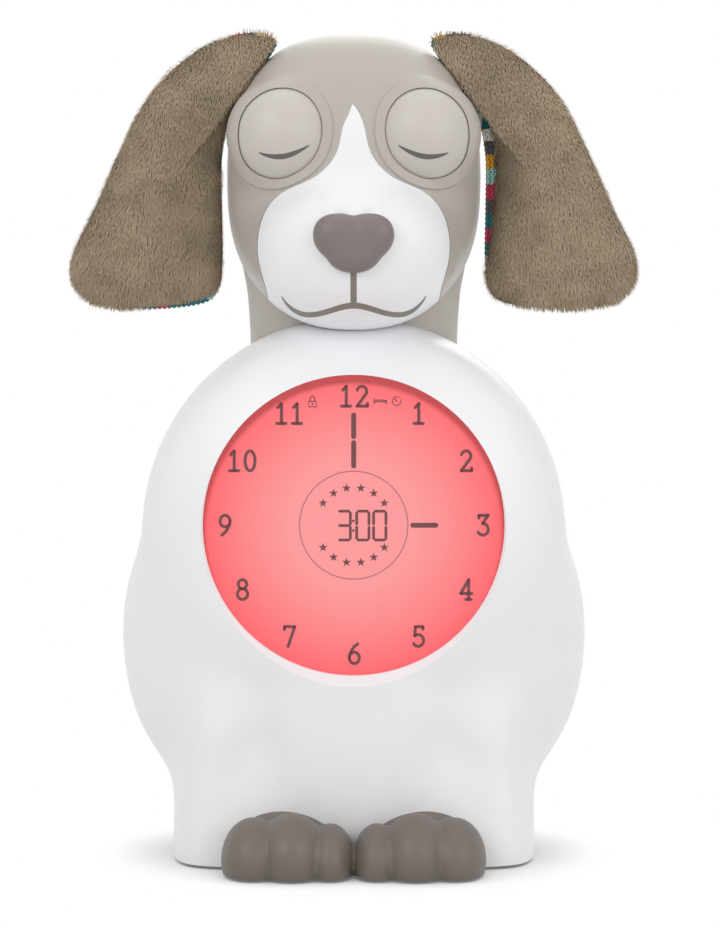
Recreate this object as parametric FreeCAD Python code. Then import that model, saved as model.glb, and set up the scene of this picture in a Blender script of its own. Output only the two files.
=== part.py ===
import FreeCAD, Part
import math
import os
from FreeCAD import Vector

# Bedside clock for children in the shape of a sitting dog. Millimetres, the face looks
# along -Y, +Z is up and the rubber feet stand on Z = 0.

# White body: a drum that carries the dial, haunches, feet and a chest.
DRUM_RADIUS = 64.7
DRUM_Y = -4.0
DRUM_Z = 102.0
DRUM_FRONT = 32.0
DRUM_BACK = 58.0
HAUNCH_X = 40.0
HAUNCH_Z = 68.0
HAUNCH_HALF_WIDTH = 31.7
BASE_HALF_WIDTH = 54.5
CHEST_HALF_WIDTH = 33.0
WALL = 2.4
PARTING_Y = 10.0
UNDERSIDE_Z = 1.0
SEAT_GAP = 0.2

# Round display behind its opening in the drum.
DIAL_RADIUS = 45.4
DIAL_RISE = 3.0
DIAL_RECESS = 2.6
LENS_MARGIN = 1.4
LENS_THICKNESS = 1.5
LCD_THICKNESS = 2.2
DIFFUSER_THICKNESS = 3.0
BEZEL_DEPTH = 5.4
FRAME_DEPTH = 8.0
FRAME_WALL = 3.6
FRAME_FLOOR = 2.0
LUG_BOSS_RADIUS = 2.9
BOARD_THICKNESS = 1.6
BOARD_HALF_WIDTH = 40.0
BOARD_HALF_HEIGHT = 32.0
LED_COUNT = 12

# Screws of the case, the head and the display.
SCREW_RADIUS = 1.4
SCREW_HEAD_RADIUS = 2.7
SCREW_HEAD_HEIGHT = 1.8
SCREW_GAP = 0.05
BOSS_RADIUS = 4.2

# Keys on the back.
PANEL_RADIUS = 24.0
PANEL_RISE = 2.0
PANEL_THICKNESS = 2.4
PANEL_INSET = 2.8
KEY_RADIUS = 4.0
KEY_RING = 14.0
KEY_TRAVEL = 0.5
KEY_GAP = 0.25
KEY_PROUD = 1.3
PLUNGER_GAP = 0.1

# Loudspeaker under the keys.
SPEAKER_RADIUS = 11.5
SPEAKER_Z = 64.5
GRILLE_HOLE = 0.9
GRILLE_PITCH = 2.9

# Battery compartment for three AAA cells and its door.
CELL_RADIUS = 5.25
CELL_LENGTH = 44.5
CELL_COUNT = 3
CELL_GAP = 0.35
CONTACT_SPACE = 2.4
CELL_Y = 37.5
CELL_Z = 18.2
COMPARTMENT_WALL = 3.0
DOOR_GAP = 0.3
DOOR_LEDGE = 1.5

# Neck between body and head.
NECK_HALF_WIDTH = 32.6
NECK_HALF_DEPTH = 25.0
NECK_Y = 17.0
NECK_BOTTOM = 136.0
NECK_TOP = 190.0

# Head, muzzle and the eyes that turn in it.
HEAD_HALF_WIDTH = 39.0
HEAD_HALF_HEIGHT = 44.3
HEAD_DEPTH = 37.0
HEAD_Y = 8.0
HEAD_Z = 209.0
HEAD_WALL = 2.2
HEAD_PARTING_Y = 14.0
EYE_RADIUS = 15.5
EYE_X = 20.8
EYE_Y = -17.4
EYE_Z = 222.0
EYE_GAP = 0.4
EYE_TURN = 125.0
SOCKET_WALL = 2.2
RIM_HEIGHT = 0.7
BROW = 1.2
BROW_FRONT = 9.4
LID_THICKNESS = 1.2
AXLE_RADIUS = 2.0
RUNNING_GAP = 0.08

# Gear train from the motor to the eye axle.
MODULE = 0.8
EYE_TEETH = 15
IDLER_TEETH = 24
PINION_TEETH = 12
GEAR_WIDTH = 4.0
BACKLASH = 0.16
CHEEK_START = 3.4
CHEEK_THICKNESS = 2.0
MOTOR_RADIUS = 6.0
MOTOR_LENGTH = 22.0

# Plush ears.
EAR_PLANE_Y = 2.0
EAR_PLUSH = 9.0
EAR_LINING = 2.6
EAR_GAP = 0.3
EAR_PIVOT_X = 26.0
EAR_PIVOT_Z = 249.0
EAR_LIFT = 60.0

FAR = 200.0


def block(x0, x1, y0, y1, z0, z1):
    return Part.makeBox(x1 - x0, y1 - y0, z1 - z0, Vector(x0, y0, z0))


def rod_x(y, z, x0, x1, radius):
    return Part.makeCylinder(radius, x1 - x0, Vector(x0, y, z), Vector(1, 0, 0))


def rod_y(x, z, y0, y1, radius):
    return Part.makeCylinder(radius, y1 - y0, Vector(x, y0, z), Vector(0, 1, 0))


def rod_z(x, y, z0, z1, radius):
    return Part.makeCylinder(radius, z1 - z0, Vector(x, y, z0), Vector(0, 0, 1))


def ball(x, y, z, radius):
    return Part.makeSphere(radius, Vector(x, y, z))


def mirrored(shape):
    return shape.mirror(Vector(0, 0, 0), Vector(1, 0, 0))


def both_sides(shape):
    return [shape, mirrored(shape)]


def save(name, shape):
    shape.exportStep(os.path.join("parts", name + ".step"))


# Organic forms. A lobe is a rounded block with its own half sizes toward each side. Lobes
# melt into each other like clay, and the skin is lofted through rings around one axis.

def lobe(centre, half_width, depth, height, roundness=2.2, edge=2.4):
    return centre, half_width, depth, height, roundness, edge


def lobe_value(point, item, inset):
    centre, half_width, (front, back), (below, above), roundness, edge = item
    dx = abs(point[0] - centre[0]) / (half_width - inset)
    dy = point[1] - centre[1]
    dy = -dy / (front - inset) if dy < 0 else dy / (back - inset)
    dz = point[2] - centre[2]
    dz = -dz / (below - inset) if dz < 0 else dz / (above - inset)
    across = (dx ** roundness + dz ** roundness) ** (edge / roundness)
    return (across + dy ** edge) ** (1 / edge)


def reach(centre, direction, lobes, softness, inset):
    near = 0.0
    far = FAR
    for _ in range(26):
        middle = (near + far) / 2
        point = [centre[i] + direction[i] * middle for i in range(3)]
        total = sum(max(lobe_value(point, item, inset), 1e-6) ** -softness for item in lobes)
        if total > 1:
            near = middle
        else:
            far = middle
    return near


def skin(centre, lobes, softness, inset, rings, spokes, axis, tip):
    wires = []
    for ring in range(rings + 1):
        polar = math.radians(tip + (180 - 2 * tip) * ring / rings)
        points = []
        for spoke in range(spokes):
            turn = 2 * math.pi * spoke / spokes
            around = (math.sin(polar) * math.cos(turn), math.sin(polar) * math.sin(turn))
            if axis == "Y":
                direction = (around[0], -math.cos(polar), around[1])
            else:
                direction = (around[0], around[1], math.cos(polar))
            length = reach(centre, direction, lobes, softness, inset)
            points.append(Vector(*[centre[i] + direction[i] * length for i in range(3)]))
        if ring in (0, rings):
            if axis == "Y":
                level = sum(p.y for p in points) / spokes
                points = [Vector(p.x, level, p.z) for p in points]
            else:
                level = sum(p.z for p in points) / spokes
                points = [Vector(p.x, p.y, level) for p in points]
        curve = Part.BSplineCurve()
        steps = [float(t) for t in range(spokes + 1)]
        curve.interpolate(Points=points, PeriodicFlag=True, Parameters=steps)
        wires.append(Part.Wire([curve.toShape()]))
    return Part.makeLoft(wires, True, False, False)


def body_form(inset):
    lobes = [
        lobe((0, DRUM_Y, DRUM_Z), DRUM_RADIUS, (DRUM_FRONT, DRUM_BACK),
             (DRUM_RADIUS, DRUM_RADIUS), 2, 2.6),
        lobe((0, -8, 40), CHEST_HALF_WIDTH, (23, 40), (40, 70), 2.6, 3),
        lobe((0, 14, 44), 46, (30, 36), (46, 46), 2.6, 2.6),
        lobe((0, 12, 0), BASE_HALF_WIDTH, (38, 38), (36, 36), 2.8, 2.8)]
    for side in (-1, 1):
        lobes.append(lobe((side * HAUNCH_X, 14, HAUNCH_Z), HAUNCH_HALF_WIDTH, (34, 36),
                          (48, 40), 2.1, 2.2))
        lobes.append(lobe((side * (BASE_HALF_WIDTH - 15.5), 2, 36), 15.5, (27, 28),
                          (46, 34), 2.6, 2.4))
        lobes.append(lobe((side * (BASE_HALF_WIDTH - 17.5), -4, 4), 17.5, (23, 20),
                          (20, 24), 2.4, 2.4))
    return skin((0, 8, 90), lobes, 12, inset, 18, 48, "Y", 8)


def head_form(inset):
    lobes = [
        lobe((0, HEAD_Y, HEAD_Z), HEAD_HALF_WIDTH, (HEAD_DEPTH, HEAD_DEPTH),
             (HEAD_HALF_HEIGHT, HEAD_HALF_HEIGHT), 2.5, 2.3),
        lobe((0, HEAD_Y - 22, HEAD_Z - 22), 31, (30, 26), (23.7, 23.7), 2.1, 2.1)]
    for side in (-1, 1):
        lobes.append(lobe((side * EYE_X, EYE_Y, EYE_Z), EYE_RADIUS + BROW, (BROW_FRONT, 22),
                          (EYE_RADIUS + BROW - 0.6, EYE_RADIUS + BROW - 0.6), 2.1, 2.5))
    return skin((0, HEAD_Y - 6, HEAD_Z - 16), lobes, 14, inset, 18, 40, "Y", 5)


def closed_curve(points, level):
    curve = Part.BSplineCurve()
    curve.interpolate(Points=[Vector(x, level, z) for x, z in points], PeriodicFlag=True)
    return Part.Face(Part.Wire([curve.toShape()]))


def stroke(path, widths, level, depth):
    upper = []
    lower = []
    for i, (x, z) in enumerate(path):
        ahead = path[min(i + 1, len(path) - 1)]
        behind = path[max(i - 1, 0)]
        run = (ahead[0] - behind[0], ahead[1] - behind[1])
        length = math.hypot(*run)
        side = (-run[1] / length * widths[i] / 2, run[0] / length * widths[i] / 2)
        upper.append(Vector(x + side[0], level, z + side[1]))
        lower.append(Vector(x - side[0], level, z - side[1]))
    first = Part.BSplineCurve()
    first.interpolate(upper)
    second = Part.BSplineCurve()
    second.interpolate(lower)
    edges = [first.toShape(), Part.makeLine(upper[-1], lower[-1]),
             second.toShape(), Part.makeLine(lower[0], upper[0])]
    face = Part.Face(Part.Wire(Part.__sortEdges__(edges)))
    return face.extrude(Vector(0, depth, 0))


def screw(x, z, seat_y, length, toward):
    head_start = seat_y if toward < 0 else seat_y - SCREW_HEAD_HEIGHT
    shank_start = seat_y - length if toward < 0 else seat_y
    head = rod_y(x, z, head_start, head_start + SCREW_HEAD_HEIGHT, SCREW_HEAD_RADIUS)
    shank = rod_y(x, z, shank_start, shank_start + length, SCREW_RADIUS)
    return head.fuse(shank).removeSplitter()


def boss_pair(x, z, parting, outer, seat_y, depth):
    """Bosses of two shells that meet at the parting plane, with the screw's holes."""
    column = rod_y(x, z, -FAR, FAR, BOSS_RADIUS).common(outer)
    front = column.common(block(-FAR, FAR, -FAR, parting, -FAR, 2 * FAR))
    rear = column.common(block(-FAR, FAR, parting, FAR, -FAR, 2 * FAR))
    head_room = rod_y(x, z, seat_y, FAR, SCREW_HEAD_RADIUS + 0.4)
    pilot = rod_y(x, z, parting - depth, FAR, SCREW_RADIUS + SCREW_GAP)
    return front, rear, head_room.fuse(pilot)


def fuse_all(shapes):
    total = shapes[0].multiFuse(shapes[1:]) if len(shapes) > 1 else shapes[0]
    return total.removeSplitter()


# Body shells, base plate and what stands on the ground.

body = body_form(0)
body_inner = body_form(WALL)
body_middle = body_form(WALL / 2)
body_clear = body_form(WALL + SEAT_GAP)
head = head_form(0)
head_middle = head_form(HEAD_WALL / 2)
head_inner = head_form(HEAD_WALL)
head_clear = head_form(HEAD_WALL + SEAT_GAP)

dial_z = DRUM_Z + DIAL_RISE
rim_ratio = (DIAL_RADIUS / DRUM_RADIUS) ** 2.6
rim_y = DRUM_Y - DRUM_FRONT * (1 - rim_ratio) ** (1 / 2.6)
lens_y = rim_y + DIAL_RECESS
lens_radius = DIAL_RADIUS + LENS_MARGIN
lcd_y = lens_y + LENS_THICKNESS
diffuser_y = lcd_y + LCD_THICKNESS
frame_y = lens_y + BEZEL_DEPTH
frame_radius = lens_radius + FRAME_WALL
frame_back = frame_y + FRAME_DEPTH
led_y = frame_back - FRAME_FLOOR - BOARD_THICKNESS
board_y = frame_back + 4.0

above_ground = block(-FAR, FAR, -FAR, FAR, UNDERSIDE_Z, 2 * FAR)
front_half = block(-FAR, FAR, -FAR, PARTING_Y, UNDERSIDE_Z, 2 * FAR)
rear_half = block(-FAR, FAR, PARTING_Y, FAR, UNDERSIDE_Z, 2 * FAR)

neck_axes = (NECK_HALF_WIDTH, NECK_HALF_DEPTH)


def neck_column(grow, bottom, top):
    ellipse = Part.Ellipse(Vector(0, NECK_Y, bottom), neck_axes[0] + grow, neck_axes[1] + grow)
    face = Part.Face(Part.Wire([ellipse.toShape()]))
    return face.extrude(Vector(0, 0, top - bottom))


neck_tube = neck_column(0, NECK_BOTTOM, NECK_TOP)
neck_tube = neck_tube.cut(neck_column(-WALL, NECK_BOTTOM - 1, NECK_TOP + 1))
neck_hole = neck_column(SEAT_GAP / 2, NECK_BOTTOM - 4, NECK_TOP + 8)

case_points = [(47.0, HAUNCH_Z - 6), (DRUM_RADIUS - 10.7, DRUM_Z + 14)]
case_seat = PARTING_Y + 6
case_fronts = []
case_rears = []
case_holes = []
case_screws = []
for x, z in case_points:
    for side in (-1, 1):
        parts = boss_pair(side * x, z, PARTING_Y, body_middle, case_seat, 9)
        case_fronts.append(parts[0])
        case_rears.append(parts[1])
        case_holes.append(parts[2])
        case_screws.append(screw(side * x, z, case_seat, 13, -1))

plate_top = UNDERSIDE_Z + WALL
base_points = [(BASE_HALF_WIDTH - 8.5, PARTING_Y - 10), (BASE_HALF_WIDTH - 8.5, PARTING_Y + 12)]
base_bosses = []
base_holes = []
base_screws = []
for x, y in base_points:
    for side in (-1, 1):
        reach_x = sorted((side * x, side * (BASE_HALF_WIDTH + 4)))
        post = rod_z(side * x, y, plate_top, plate_top + 12, BOSS_RADIUS - 0.7)
        web = block(reach_x[0], reach_x[1], y - 1.2, y + 1.2, plate_top, plate_top + 12)
        base_bosses.append(post.fuse(web).common(body_middle))
        base_holes.append(rod_z(side * x, y, UNDERSIDE_Z - 1, plate_top + 9,
                                SCREW_RADIUS + SCREW_GAP))
        sink = rod_z(side * x, y, UNDERSIDE_Z, UNDERSIDE_Z + 1.2, SCREW_HEAD_RADIUS)
        shank = rod_z(side * x, y, UNDERSIDE_Z + 1.2, plate_top + 8, SCREW_RADIUS)
        base_screws.append(sink.fuse(shank))
        base_holes.append(rod_z(side * x, y, UNDERSIDE_Z - 1, UNDERSIDE_Z + 1.2,
                                SCREW_HEAD_RADIUS + SCREW_GAP))
front_bosses = [b for i, b in enumerate(base_bosses) if i < 2]
rear_bosses = [b for i, b in enumerate(base_bosses) if i >= 2]

# Display seat in the front shell.

bezel_ring = rod_y(0, dial_z, -FAR, frame_y, frame_radius).common(body_middle)
bezel_ring = bezel_ring.cut(rod_y(0, dial_z, -FAR, FAR, DIAL_RADIUS))
dial_hole = rod_y(0, dial_z, -FAR, frame_y, DIAL_RADIUS)
dial_flare = Part.makeCone(DIAL_RADIUS + 4, DIAL_RADIUS, 4, Vector(0, rim_y - 3.2, dial_z),
                           Vector(0, 1, 0))
lens_bore = rod_y(0, dial_z, lens_y, frame_y, lens_radius + SEAT_GAP / 2)
ledge_half = 10.0
ledge_drop = 2.6
ribbon_notch = block(-ledge_half - 1, ledge_half + 1, lcd_y - 0.3, frame_back + 1,
                     dial_z - frame_radius - 2.4, dial_z - DIAL_RADIUS)
lug_ring = frame_radius + LUG_BOSS_RADIUS + SEAT_GAP / 2
lug_points = [(lug_ring * math.cos(math.radians(a)), dial_z + lug_ring * math.sin(math.radians(a)))
              for a in (58, 122, 238, 302)]
lug_y = frame_y + 4.4
lug_bosses = []
lug_holes = []
lugs = []
display_screws = []
for x, z in lug_points:
    lug_bosses.append(rod_y(x, z, -FAR, lug_y, LUG_BOSS_RADIUS).common(body_middle))
    lug_holes.append(rod_y(x, z, lug_y - 5, FAR, SCREW_RADIUS + SCREW_GAP))
    toward = block(-3, 3, lug_y, lug_y + 2.4, -lug_ring, -frame_radius + 1)
    toward.rotate(Vector(0, 0, 0), Vector(0, 1, 0),
                  -math.degrees(math.atan2(z - dial_z, x)) - 90)
    toward.translate(Vector(0, 0, dial_z))
    lugs.append(toward.fuse(rod_y(x, z, lug_y, lug_y + 2.4, 3.0)))
    display_screws.append(screw(x, z, lug_y + 2.4, 7.2, -1))

front_shell = body.cut(body_inner).common(front_half)
front_shell = fuse_all([front_shell, bezel_ring] + case_fronts + front_bosses + lug_bosses)
front_shell = front_shell.common(front_half)
for tool in [dial_hole, dial_flare, lens_bore, ribbon_notch, neck_hole]:
    front_shell = front_shell.cut(tool)
front_shell = front_shell.cut(Part.makeCompound(case_holes + base_holes + lug_holes))

# Battery compartment, control panel seat, loudspeaker pocket and power inlet at the back.

pitch = 2 * CELL_RADIUS + CELL_GAP
room_half = CELL_LENGTH / 2 + CONTACT_SPACE
room_y = CELL_Y - CELL_RADIUS - CELL_GAP
room_low = CELL_Z - CELL_RADIUS - CELL_GAP
room_high = CELL_Z + (CELL_COUNT - 1) * pitch + CELL_RADIUS + CELL_GAP
room = block(-room_half, room_half, room_y, FAR, room_low, room_high)
box_half = room_half + COMPARTMENT_WALL
box = block(-box_half, box_half, room_y - 1.6, FAR, room_low - 1.6, room_high + COMPARTMENT_WALL)
foot_block = block(-6, 6, room_y + 2, FAR, plate_top + 0.2, room_low)
door_half = room_half + DOOR_LEDGE
door_low = plate_top + 2.4
door_high = room_high + DOOR_LEDGE
door_frame = block(-door_half, door_half, room_y, FAR, door_low, door_high)
probe = body.common(block(-door_half, door_half, room_y, FAR, door_high - 0.2, door_high + 0.6))
hinge_y = probe.BoundBox.YMax + 0.2
hinge_z = door_high
screw_z = (door_low + room_low) / 2 + 0.6

hook_x = 10.0
hook_width = 6.0
hooks = []
hook_slots = []
for side in (-1, 1):
    x0, x1 = sorted((side * hook_x, side * (hook_x + hook_width)))
    hook = block(x0, x1, hinge_y - 6.0, hinge_y - 4.4, hinge_z - 3.2, hinge_z + 1.8)
    hook = hook.common(body_clear)
    neck = block(x0, x1, hinge_y - 6.0, FAR, hinge_z - 3.2, hinge_z - 1.2).common(body)
    hooks.append(hook.fuse(neck))
    hook_slots.append(block(x0 - 0.5, x1 + 0.5, hinge_y - 8.6, hinge_y - 2.6,
                            room_high - 1, hinge_z + 2.6).common(body_clear))

screw_seat_y = body.common(block(-3, 3, room_y, FAR, screw_z - 3, screw_z + 3)).BoundBox.YMax
screw_seat_y -= WALL - 0.9
door = body.cut(body_inner)
door = door.common(block(-door_half + DOOR_GAP, door_half - DOOR_GAP, room_y, FAR,
                         door_low + DOOR_GAP, door_high - DOOR_GAP))
door = fuse_all([door] + hooks)
door = door.cut(rod_y(0, screw_z, room_y, FAR, SCREW_RADIUS + SCREW_GAP))
door = door.cut(rod_y(0, screw_z, screw_seat_y, FAR, SCREW_HEAD_RADIUS + SCREW_GAP))
door_screw = rod_y(0, screw_z, screw_seat_y, screw_seat_y + 1.2, SCREW_HEAD_RADIUS)
door_screw = door_screw.fuse(rod_y(0, screw_z, screw_seat_y - 3.4, screw_seat_y, SCREW_RADIUS))
catch = rod_y(0, screw_z, room_y, FAR, SCREW_RADIUS + 0.25)
catch = catch.fuse(rod_y(0, screw_z - 1.4, room_y, FAR, SCREW_RADIUS + 0.25))
catch = catch.fuse(block(-SCREW_RADIUS - 0.25, SCREW_RADIUS + 0.25, room_y, FAR,
                         screw_z - 1.4, screw_z))

panel_z = DRUM_Z + PANEL_RISE
panel_face = DRUM_Y + DRUM_BACK - PANEL_INSET
panel_back = panel_face - PANEL_THICKNESS
seat_depth = 2.6
panel_seat = rod_y(0, panel_z, panel_back - seat_depth, FAR, PANEL_RADIUS + 3)
panel_hole = rod_y(0, panel_z, panel_back, FAR, PANEL_RADIUS + SEAT_GAP / 2)
panel_bore = rod_y(0, panel_z, -FAR, FAR, PANEL_RADIUS - 1.6)

speaker_face = DRUM_BACK - 17.0
speaker_back = speaker_face - 3.0
pocket = rod_y(0, SPEAKER_Z, speaker_back, FAR, SPEAKER_RADIUS + 1.8)
pocket_bore = rod_y(0, SPEAKER_Z, speaker_back - 1, speaker_face, SPEAKER_RADIUS + SEAT_GAP / 2)
pocket_air = rod_y(0, SPEAKER_Z, speaker_face, FAR, SPEAKER_RADIUS - 1.4).common(body_clear)
grille = []
for row in range(-3, 4):
    for column in range(-3, 4):
        gx = (column + row / 2) * GRILLE_PITCH
        gz = row * GRILLE_PITCH * math.sqrt(3) / 2
        if math.hypot(gx, gz) < 7.8:
            grille.append(rod_y(gx, SPEAKER_Z + gz, speaker_face, FAR, GRILLE_HOLE))

jack_x = -40.0
jack_z = 20.0
jack_face = 33.0
jack_block = block(jack_x - 7.5, jack_x + 7.5, jack_face - 12, FAR, jack_z - 7.5, jack_z + 7.5)
jack_room = block(jack_x - 4.6, jack_x + 4.6, jack_face - 13, jack_face, jack_z - 4.6, jack_z + 4.6)
jack_well = rod_y(jack_x, jack_z, jack_face, FAR, 5.6)
power_socket = block(jack_x - 4.5, jack_x + 4.5, jack_face - 12, jack_face, jack_z - 4.5,
                     jack_z + 4.5)
power_socket = power_socket.cut(rod_y(jack_x, jack_z, jack_face - 9.5, FAR, 2.85))
power_socket = power_socket.fuse(rod_y(jack_x, jack_z, jack_face - 9.5, jack_face - 0.5, 0.95))

rear_shell = body.cut(body_inner).common(rear_half)
extras = [extra.common(body_middle) for extra in (box, foot_block, panel_seat, pocket, jack_block)]
rear_shell = fuse_all([rear_shell] + extras + case_rears + rear_bosses)
rear_shell = rear_shell.common(rear_half)
cutters = [room, door_frame.cut(body_clear), panel_hole, panel_bore.cut(block(
    -FAR, FAR, -FAR, PARTING_Y, 0, FAR)), pocket_bore, pocket_air, jack_room, jack_well, neck_hole]
for tool in cutters + hook_slots:
    rear_shell = rear_shell.cut(tool)
rear_shell = rear_shell.cut(catch.common(block(-9, 9, room_y + 4, FAR, door_low - 2, room_low)))
rear_shell = rear_shell.cut(Part.makeCompound(case_holes + base_holes + grille))

base_plate = body_clear.common(block(-FAR, FAR, -FAR, FAR, UNDERSIDE_Z, plate_top))
base_plate = base_plate.cut(Part.makeCompound(base_holes))
foot_radius = 6.0
rear_feet = [(side * 30.0, 32.0) for side in (-1, 1)]
front_feet = [(side * 22.0, -36.0) for side in (-1, 1)]
feet = [rod_z(x, y, 0, UNDERSIDE_Z + 1, foot_radius) for x, y in rear_feet + front_feet]
for x, y in rear_feet:
    base_plate = base_plate.cut(rod_z(x, y, 0, UNDERSIDE_Z + 1, foot_radius + SCREW_GAP))

paw_lobes = [lobe((0, -32, 4), 9.0, (16, 20), (14, 11.5), 2.2, 2.4)]
for side in (-1, 1):
    paw_lobes.append(lobe((side * 20.8, -31, 4), 18.8, (19, 22), (16, 15.4), 2.6, 2.5))
    for toe_x, toe_y, toe_top in ((12.4, -42.0, 11.6), (28.6, -40.5, 11.0)):
        paw_lobes.append(lobe((side * toe_x, toe_y, 4), 10.6, (11, 14), (12, toe_top), 2.2, 2.2))
paws = skin((0, -31, 6), paw_lobes, 12, 0, 14, 48, "Z", 6)
paws = paws.common(above_ground).cut(body_form(-SEAT_GAP))
paws = max(paws.Solids, key=lambda s: s.Volume)
for x, y in front_feet:
    paws = paws.cut(rod_z(x, y, 0, UNDERSIDE_Z + 1, foot_radius + SCREW_GAP))

# Display stack from the front to the main board.

lens = rod_y(0, dial_z, lens_y, lcd_y, lens_radius)
lcd = rod_y(0, dial_z, lcd_y, diffuser_y, lens_radius - 0.2)
ledge = block(-ledge_half, ledge_half, lcd_y, lcd_y + LCD_THICKNESS / 2,
              dial_z - lens_radius - ledge_drop, dial_z - DIAL_RADIUS + 4)
ledge = ledge.common(body_clear)
lcd = lcd.fuse(ledge).removeSplitter()
diffuser = rod_y(0, dial_z, diffuser_y, diffuser_y + DIFFUSER_THICKNESS, lens_radius - 0.2)
frame = rod_y(0, dial_z, frame_y, frame_back, frame_radius)
frame = frame.cut(rod_y(0, dial_z, frame_y, frame_back - FRAME_FLOOR, lens_radius))
step_y = diffuser_y + DIFFUSER_THICKNESS
step = rod_y(0, dial_z, step_y, step_y + 1.2, lens_radius + 1)
step = step.cut(rod_y(0, dial_z, step_y - 1, step_y + 3, lens_radius - 3))
posts = [rod_y(sx * (BOARD_HALF_WIDTH - 8), dial_z + sz * (BOARD_HALF_HEIGHT - 6),
               frame_back - 0.5, board_y, 2.6) for sx in (-1, 1) for sz in (-1, 1)]
frame = fuse_all([frame, step] + [lug.common(body_clear) for lug in lugs] + posts)
frame = frame.cut(Part.makeCompound(lug_holes))
frame = frame.cut(ribbon_notch)
frame = frame.cut(block(-11, 11, led_y, frame_back + 1, dial_z - 3, dial_z + 3))
led_board = rod_y(0, dial_z, led_y, led_y + BOARD_THICKNESS, lens_radius - 1.4)
leds = []
for i in range(LED_COUNT):
    turn = 2 * math.pi * i / LED_COUNT
    x = 30 * math.cos(turn)
    z = dial_z + 30 * math.sin(turn)
    leds.append(block(x - 1.4, x + 1.4, led_y - 0.8, led_y, z - 1.4, z + 1.4))
board_header = block(-10, 10, led_y + BOARD_THICKNESS, board_y, dial_z - 2.4, dial_z + 2.4)
main_board = block(-BOARD_HALF_WIDTH, BOARD_HALF_WIDTH, board_y, board_y + BOARD_THICKNESS,
                   dial_z - BOARD_HALF_HEIGHT, dial_z + BOARD_HALF_HEIGHT)
board_top = board_y + BOARD_THICKNESS
board_parts = [block(-7, 7, board_top, board_top + 1.6, dial_z - 7, dial_z + 7),
               block(14, 24, board_top, board_top + 1.4, dial_z + 8, dial_z + 16),
               block(-30, -14, board_top, board_top + 6, dial_z - 29, dial_z - 23),
               block(14, 30, board_top, board_top + 6, dial_z - 29, dial_z - 23),
               rod_y(-24, dial_z + 14, board_top, board_top + 9, 4),
               rod_y(-24, dial_z + 3, board_top, board_top + 9, 4),
               rod_y(27, dial_z - 8, board_top, board_top + 5, 5)]
ribbon_z = dial_z - frame_radius - 1.4
ribbon_path = [(lcd_y + LCD_THICKNESS / 2, dial_z - lens_radius - 0.4),
               (lcd_y + LCD_THICKNESS / 2, ribbon_z), (board_y - 0.5, ribbon_z),
               (board_y - 0.5, dial_z - BOARD_HALF_HEIGHT + 4)]
thin = 0.3
flex = [block(-9, 9, ribbon_path[0][0], ribbon_path[0][0] + thin, ribbon_z, ribbon_path[0][1]),
        block(-9, 9, ribbon_path[0][0], board_y, ribbon_z, ribbon_z + thin),
        block(-9, 9, board_y - thin, board_y, ribbon_z, ribbon_path[3][1])]
flex = fuse_all(flex)

# Control panel, keys and their board.

key_board_y = panel_back - 0.9 - KEY_TRAVEL - PLUNGER_GAP - 4.0 - BOARD_THICKNESS
key_spots = [(0.0, 0.0)]
for i in range(6):
    turn = math.radians(60 * i + 30)
    key_spots.append((KEY_RING * math.cos(turn), KEY_RING * math.sin(turn)))
panel = rod_y(0, panel_z, panel_back, panel_face, PANEL_RADIUS)
for dx, dz in key_spots:
    panel = panel.cut(rod_y(dx, panel_z + dz, panel_back, panel_face, KEY_RADIUS + KEY_GAP))
panel_posts = []
for i in range(3):
    turn = math.radians(120 * i)
    panel_posts.append(rod_y(20.3 * math.cos(turn), panel_z + 20.3 * math.sin(turn),
                             key_board_y + BOARD_THICKNESS, panel_back + 0.5, 1.6))
panel = fuse_all([panel] + panel_posts)
key_board = rod_y(0, panel_z, key_board_y, key_board_y + BOARD_THICKNESS, 22.0)
flange_face = panel_back - 0.1
key_names = ["key_light", "key_clock", "key_alarm", "key_plus", "key_minus", "key_sound",
             "key_lock"]
keys = []
switches = []
for dx, dz in key_spots:
    z = panel_z + dz
    flange = rod_y(dx, z, flange_face - 0.8, flange_face, KEY_RADIUS + 0.9)
    cap = rod_y(dx, z, flange_face - 0.4, panel_face + KEY_PROUD, KEY_RADIUS)
    cap = cap.makeFillet(0.6, [e for e in cap.Edges if e.BoundBox.YMin > panel_face])
    keys.append(flange.fuse(cap).removeSplitter())
    switch_y = key_board_y + BOARD_THICKNESS
    base = block(dx - 3, dx + 3, switch_y, switch_y + 3.4, z - 3, z + 3)
    switches.append(base.fuse(rod_y(dx, z, switch_y + 3.4, switch_y + 4.0, 1.7)))

# Loudspeaker.

basket = rod_y(0, SPEAKER_Z, speaker_face - 1.6, speaker_face, SPEAKER_RADIUS)
basket = basket.fuse(Part.makeCone(7.5, SPEAKER_RADIUS - 0.5, 3.2,
                                   Vector(0, speaker_face - 4.8, SPEAKER_Z), Vector(0, 1, 0)))
basket = basket.fuse(rod_y(0, SPEAKER_Z, speaker_face - 7.4, speaker_face - 4.6, 6.0))
bowl = Part.makeCone(3.4, SPEAKER_RADIUS - 2.0, 3.4, Vector(0, speaker_face - 3.4, SPEAKER_Z),
                     Vector(0, 1, 0))
basket = basket.cut(bowl).removeSplitter()
cone_air = bowl.copy()
cone_air.translate(Vector(0, 0.5, 0))
cone = bowl.cut(cone_air)

# Cells and their contacts.

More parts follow.
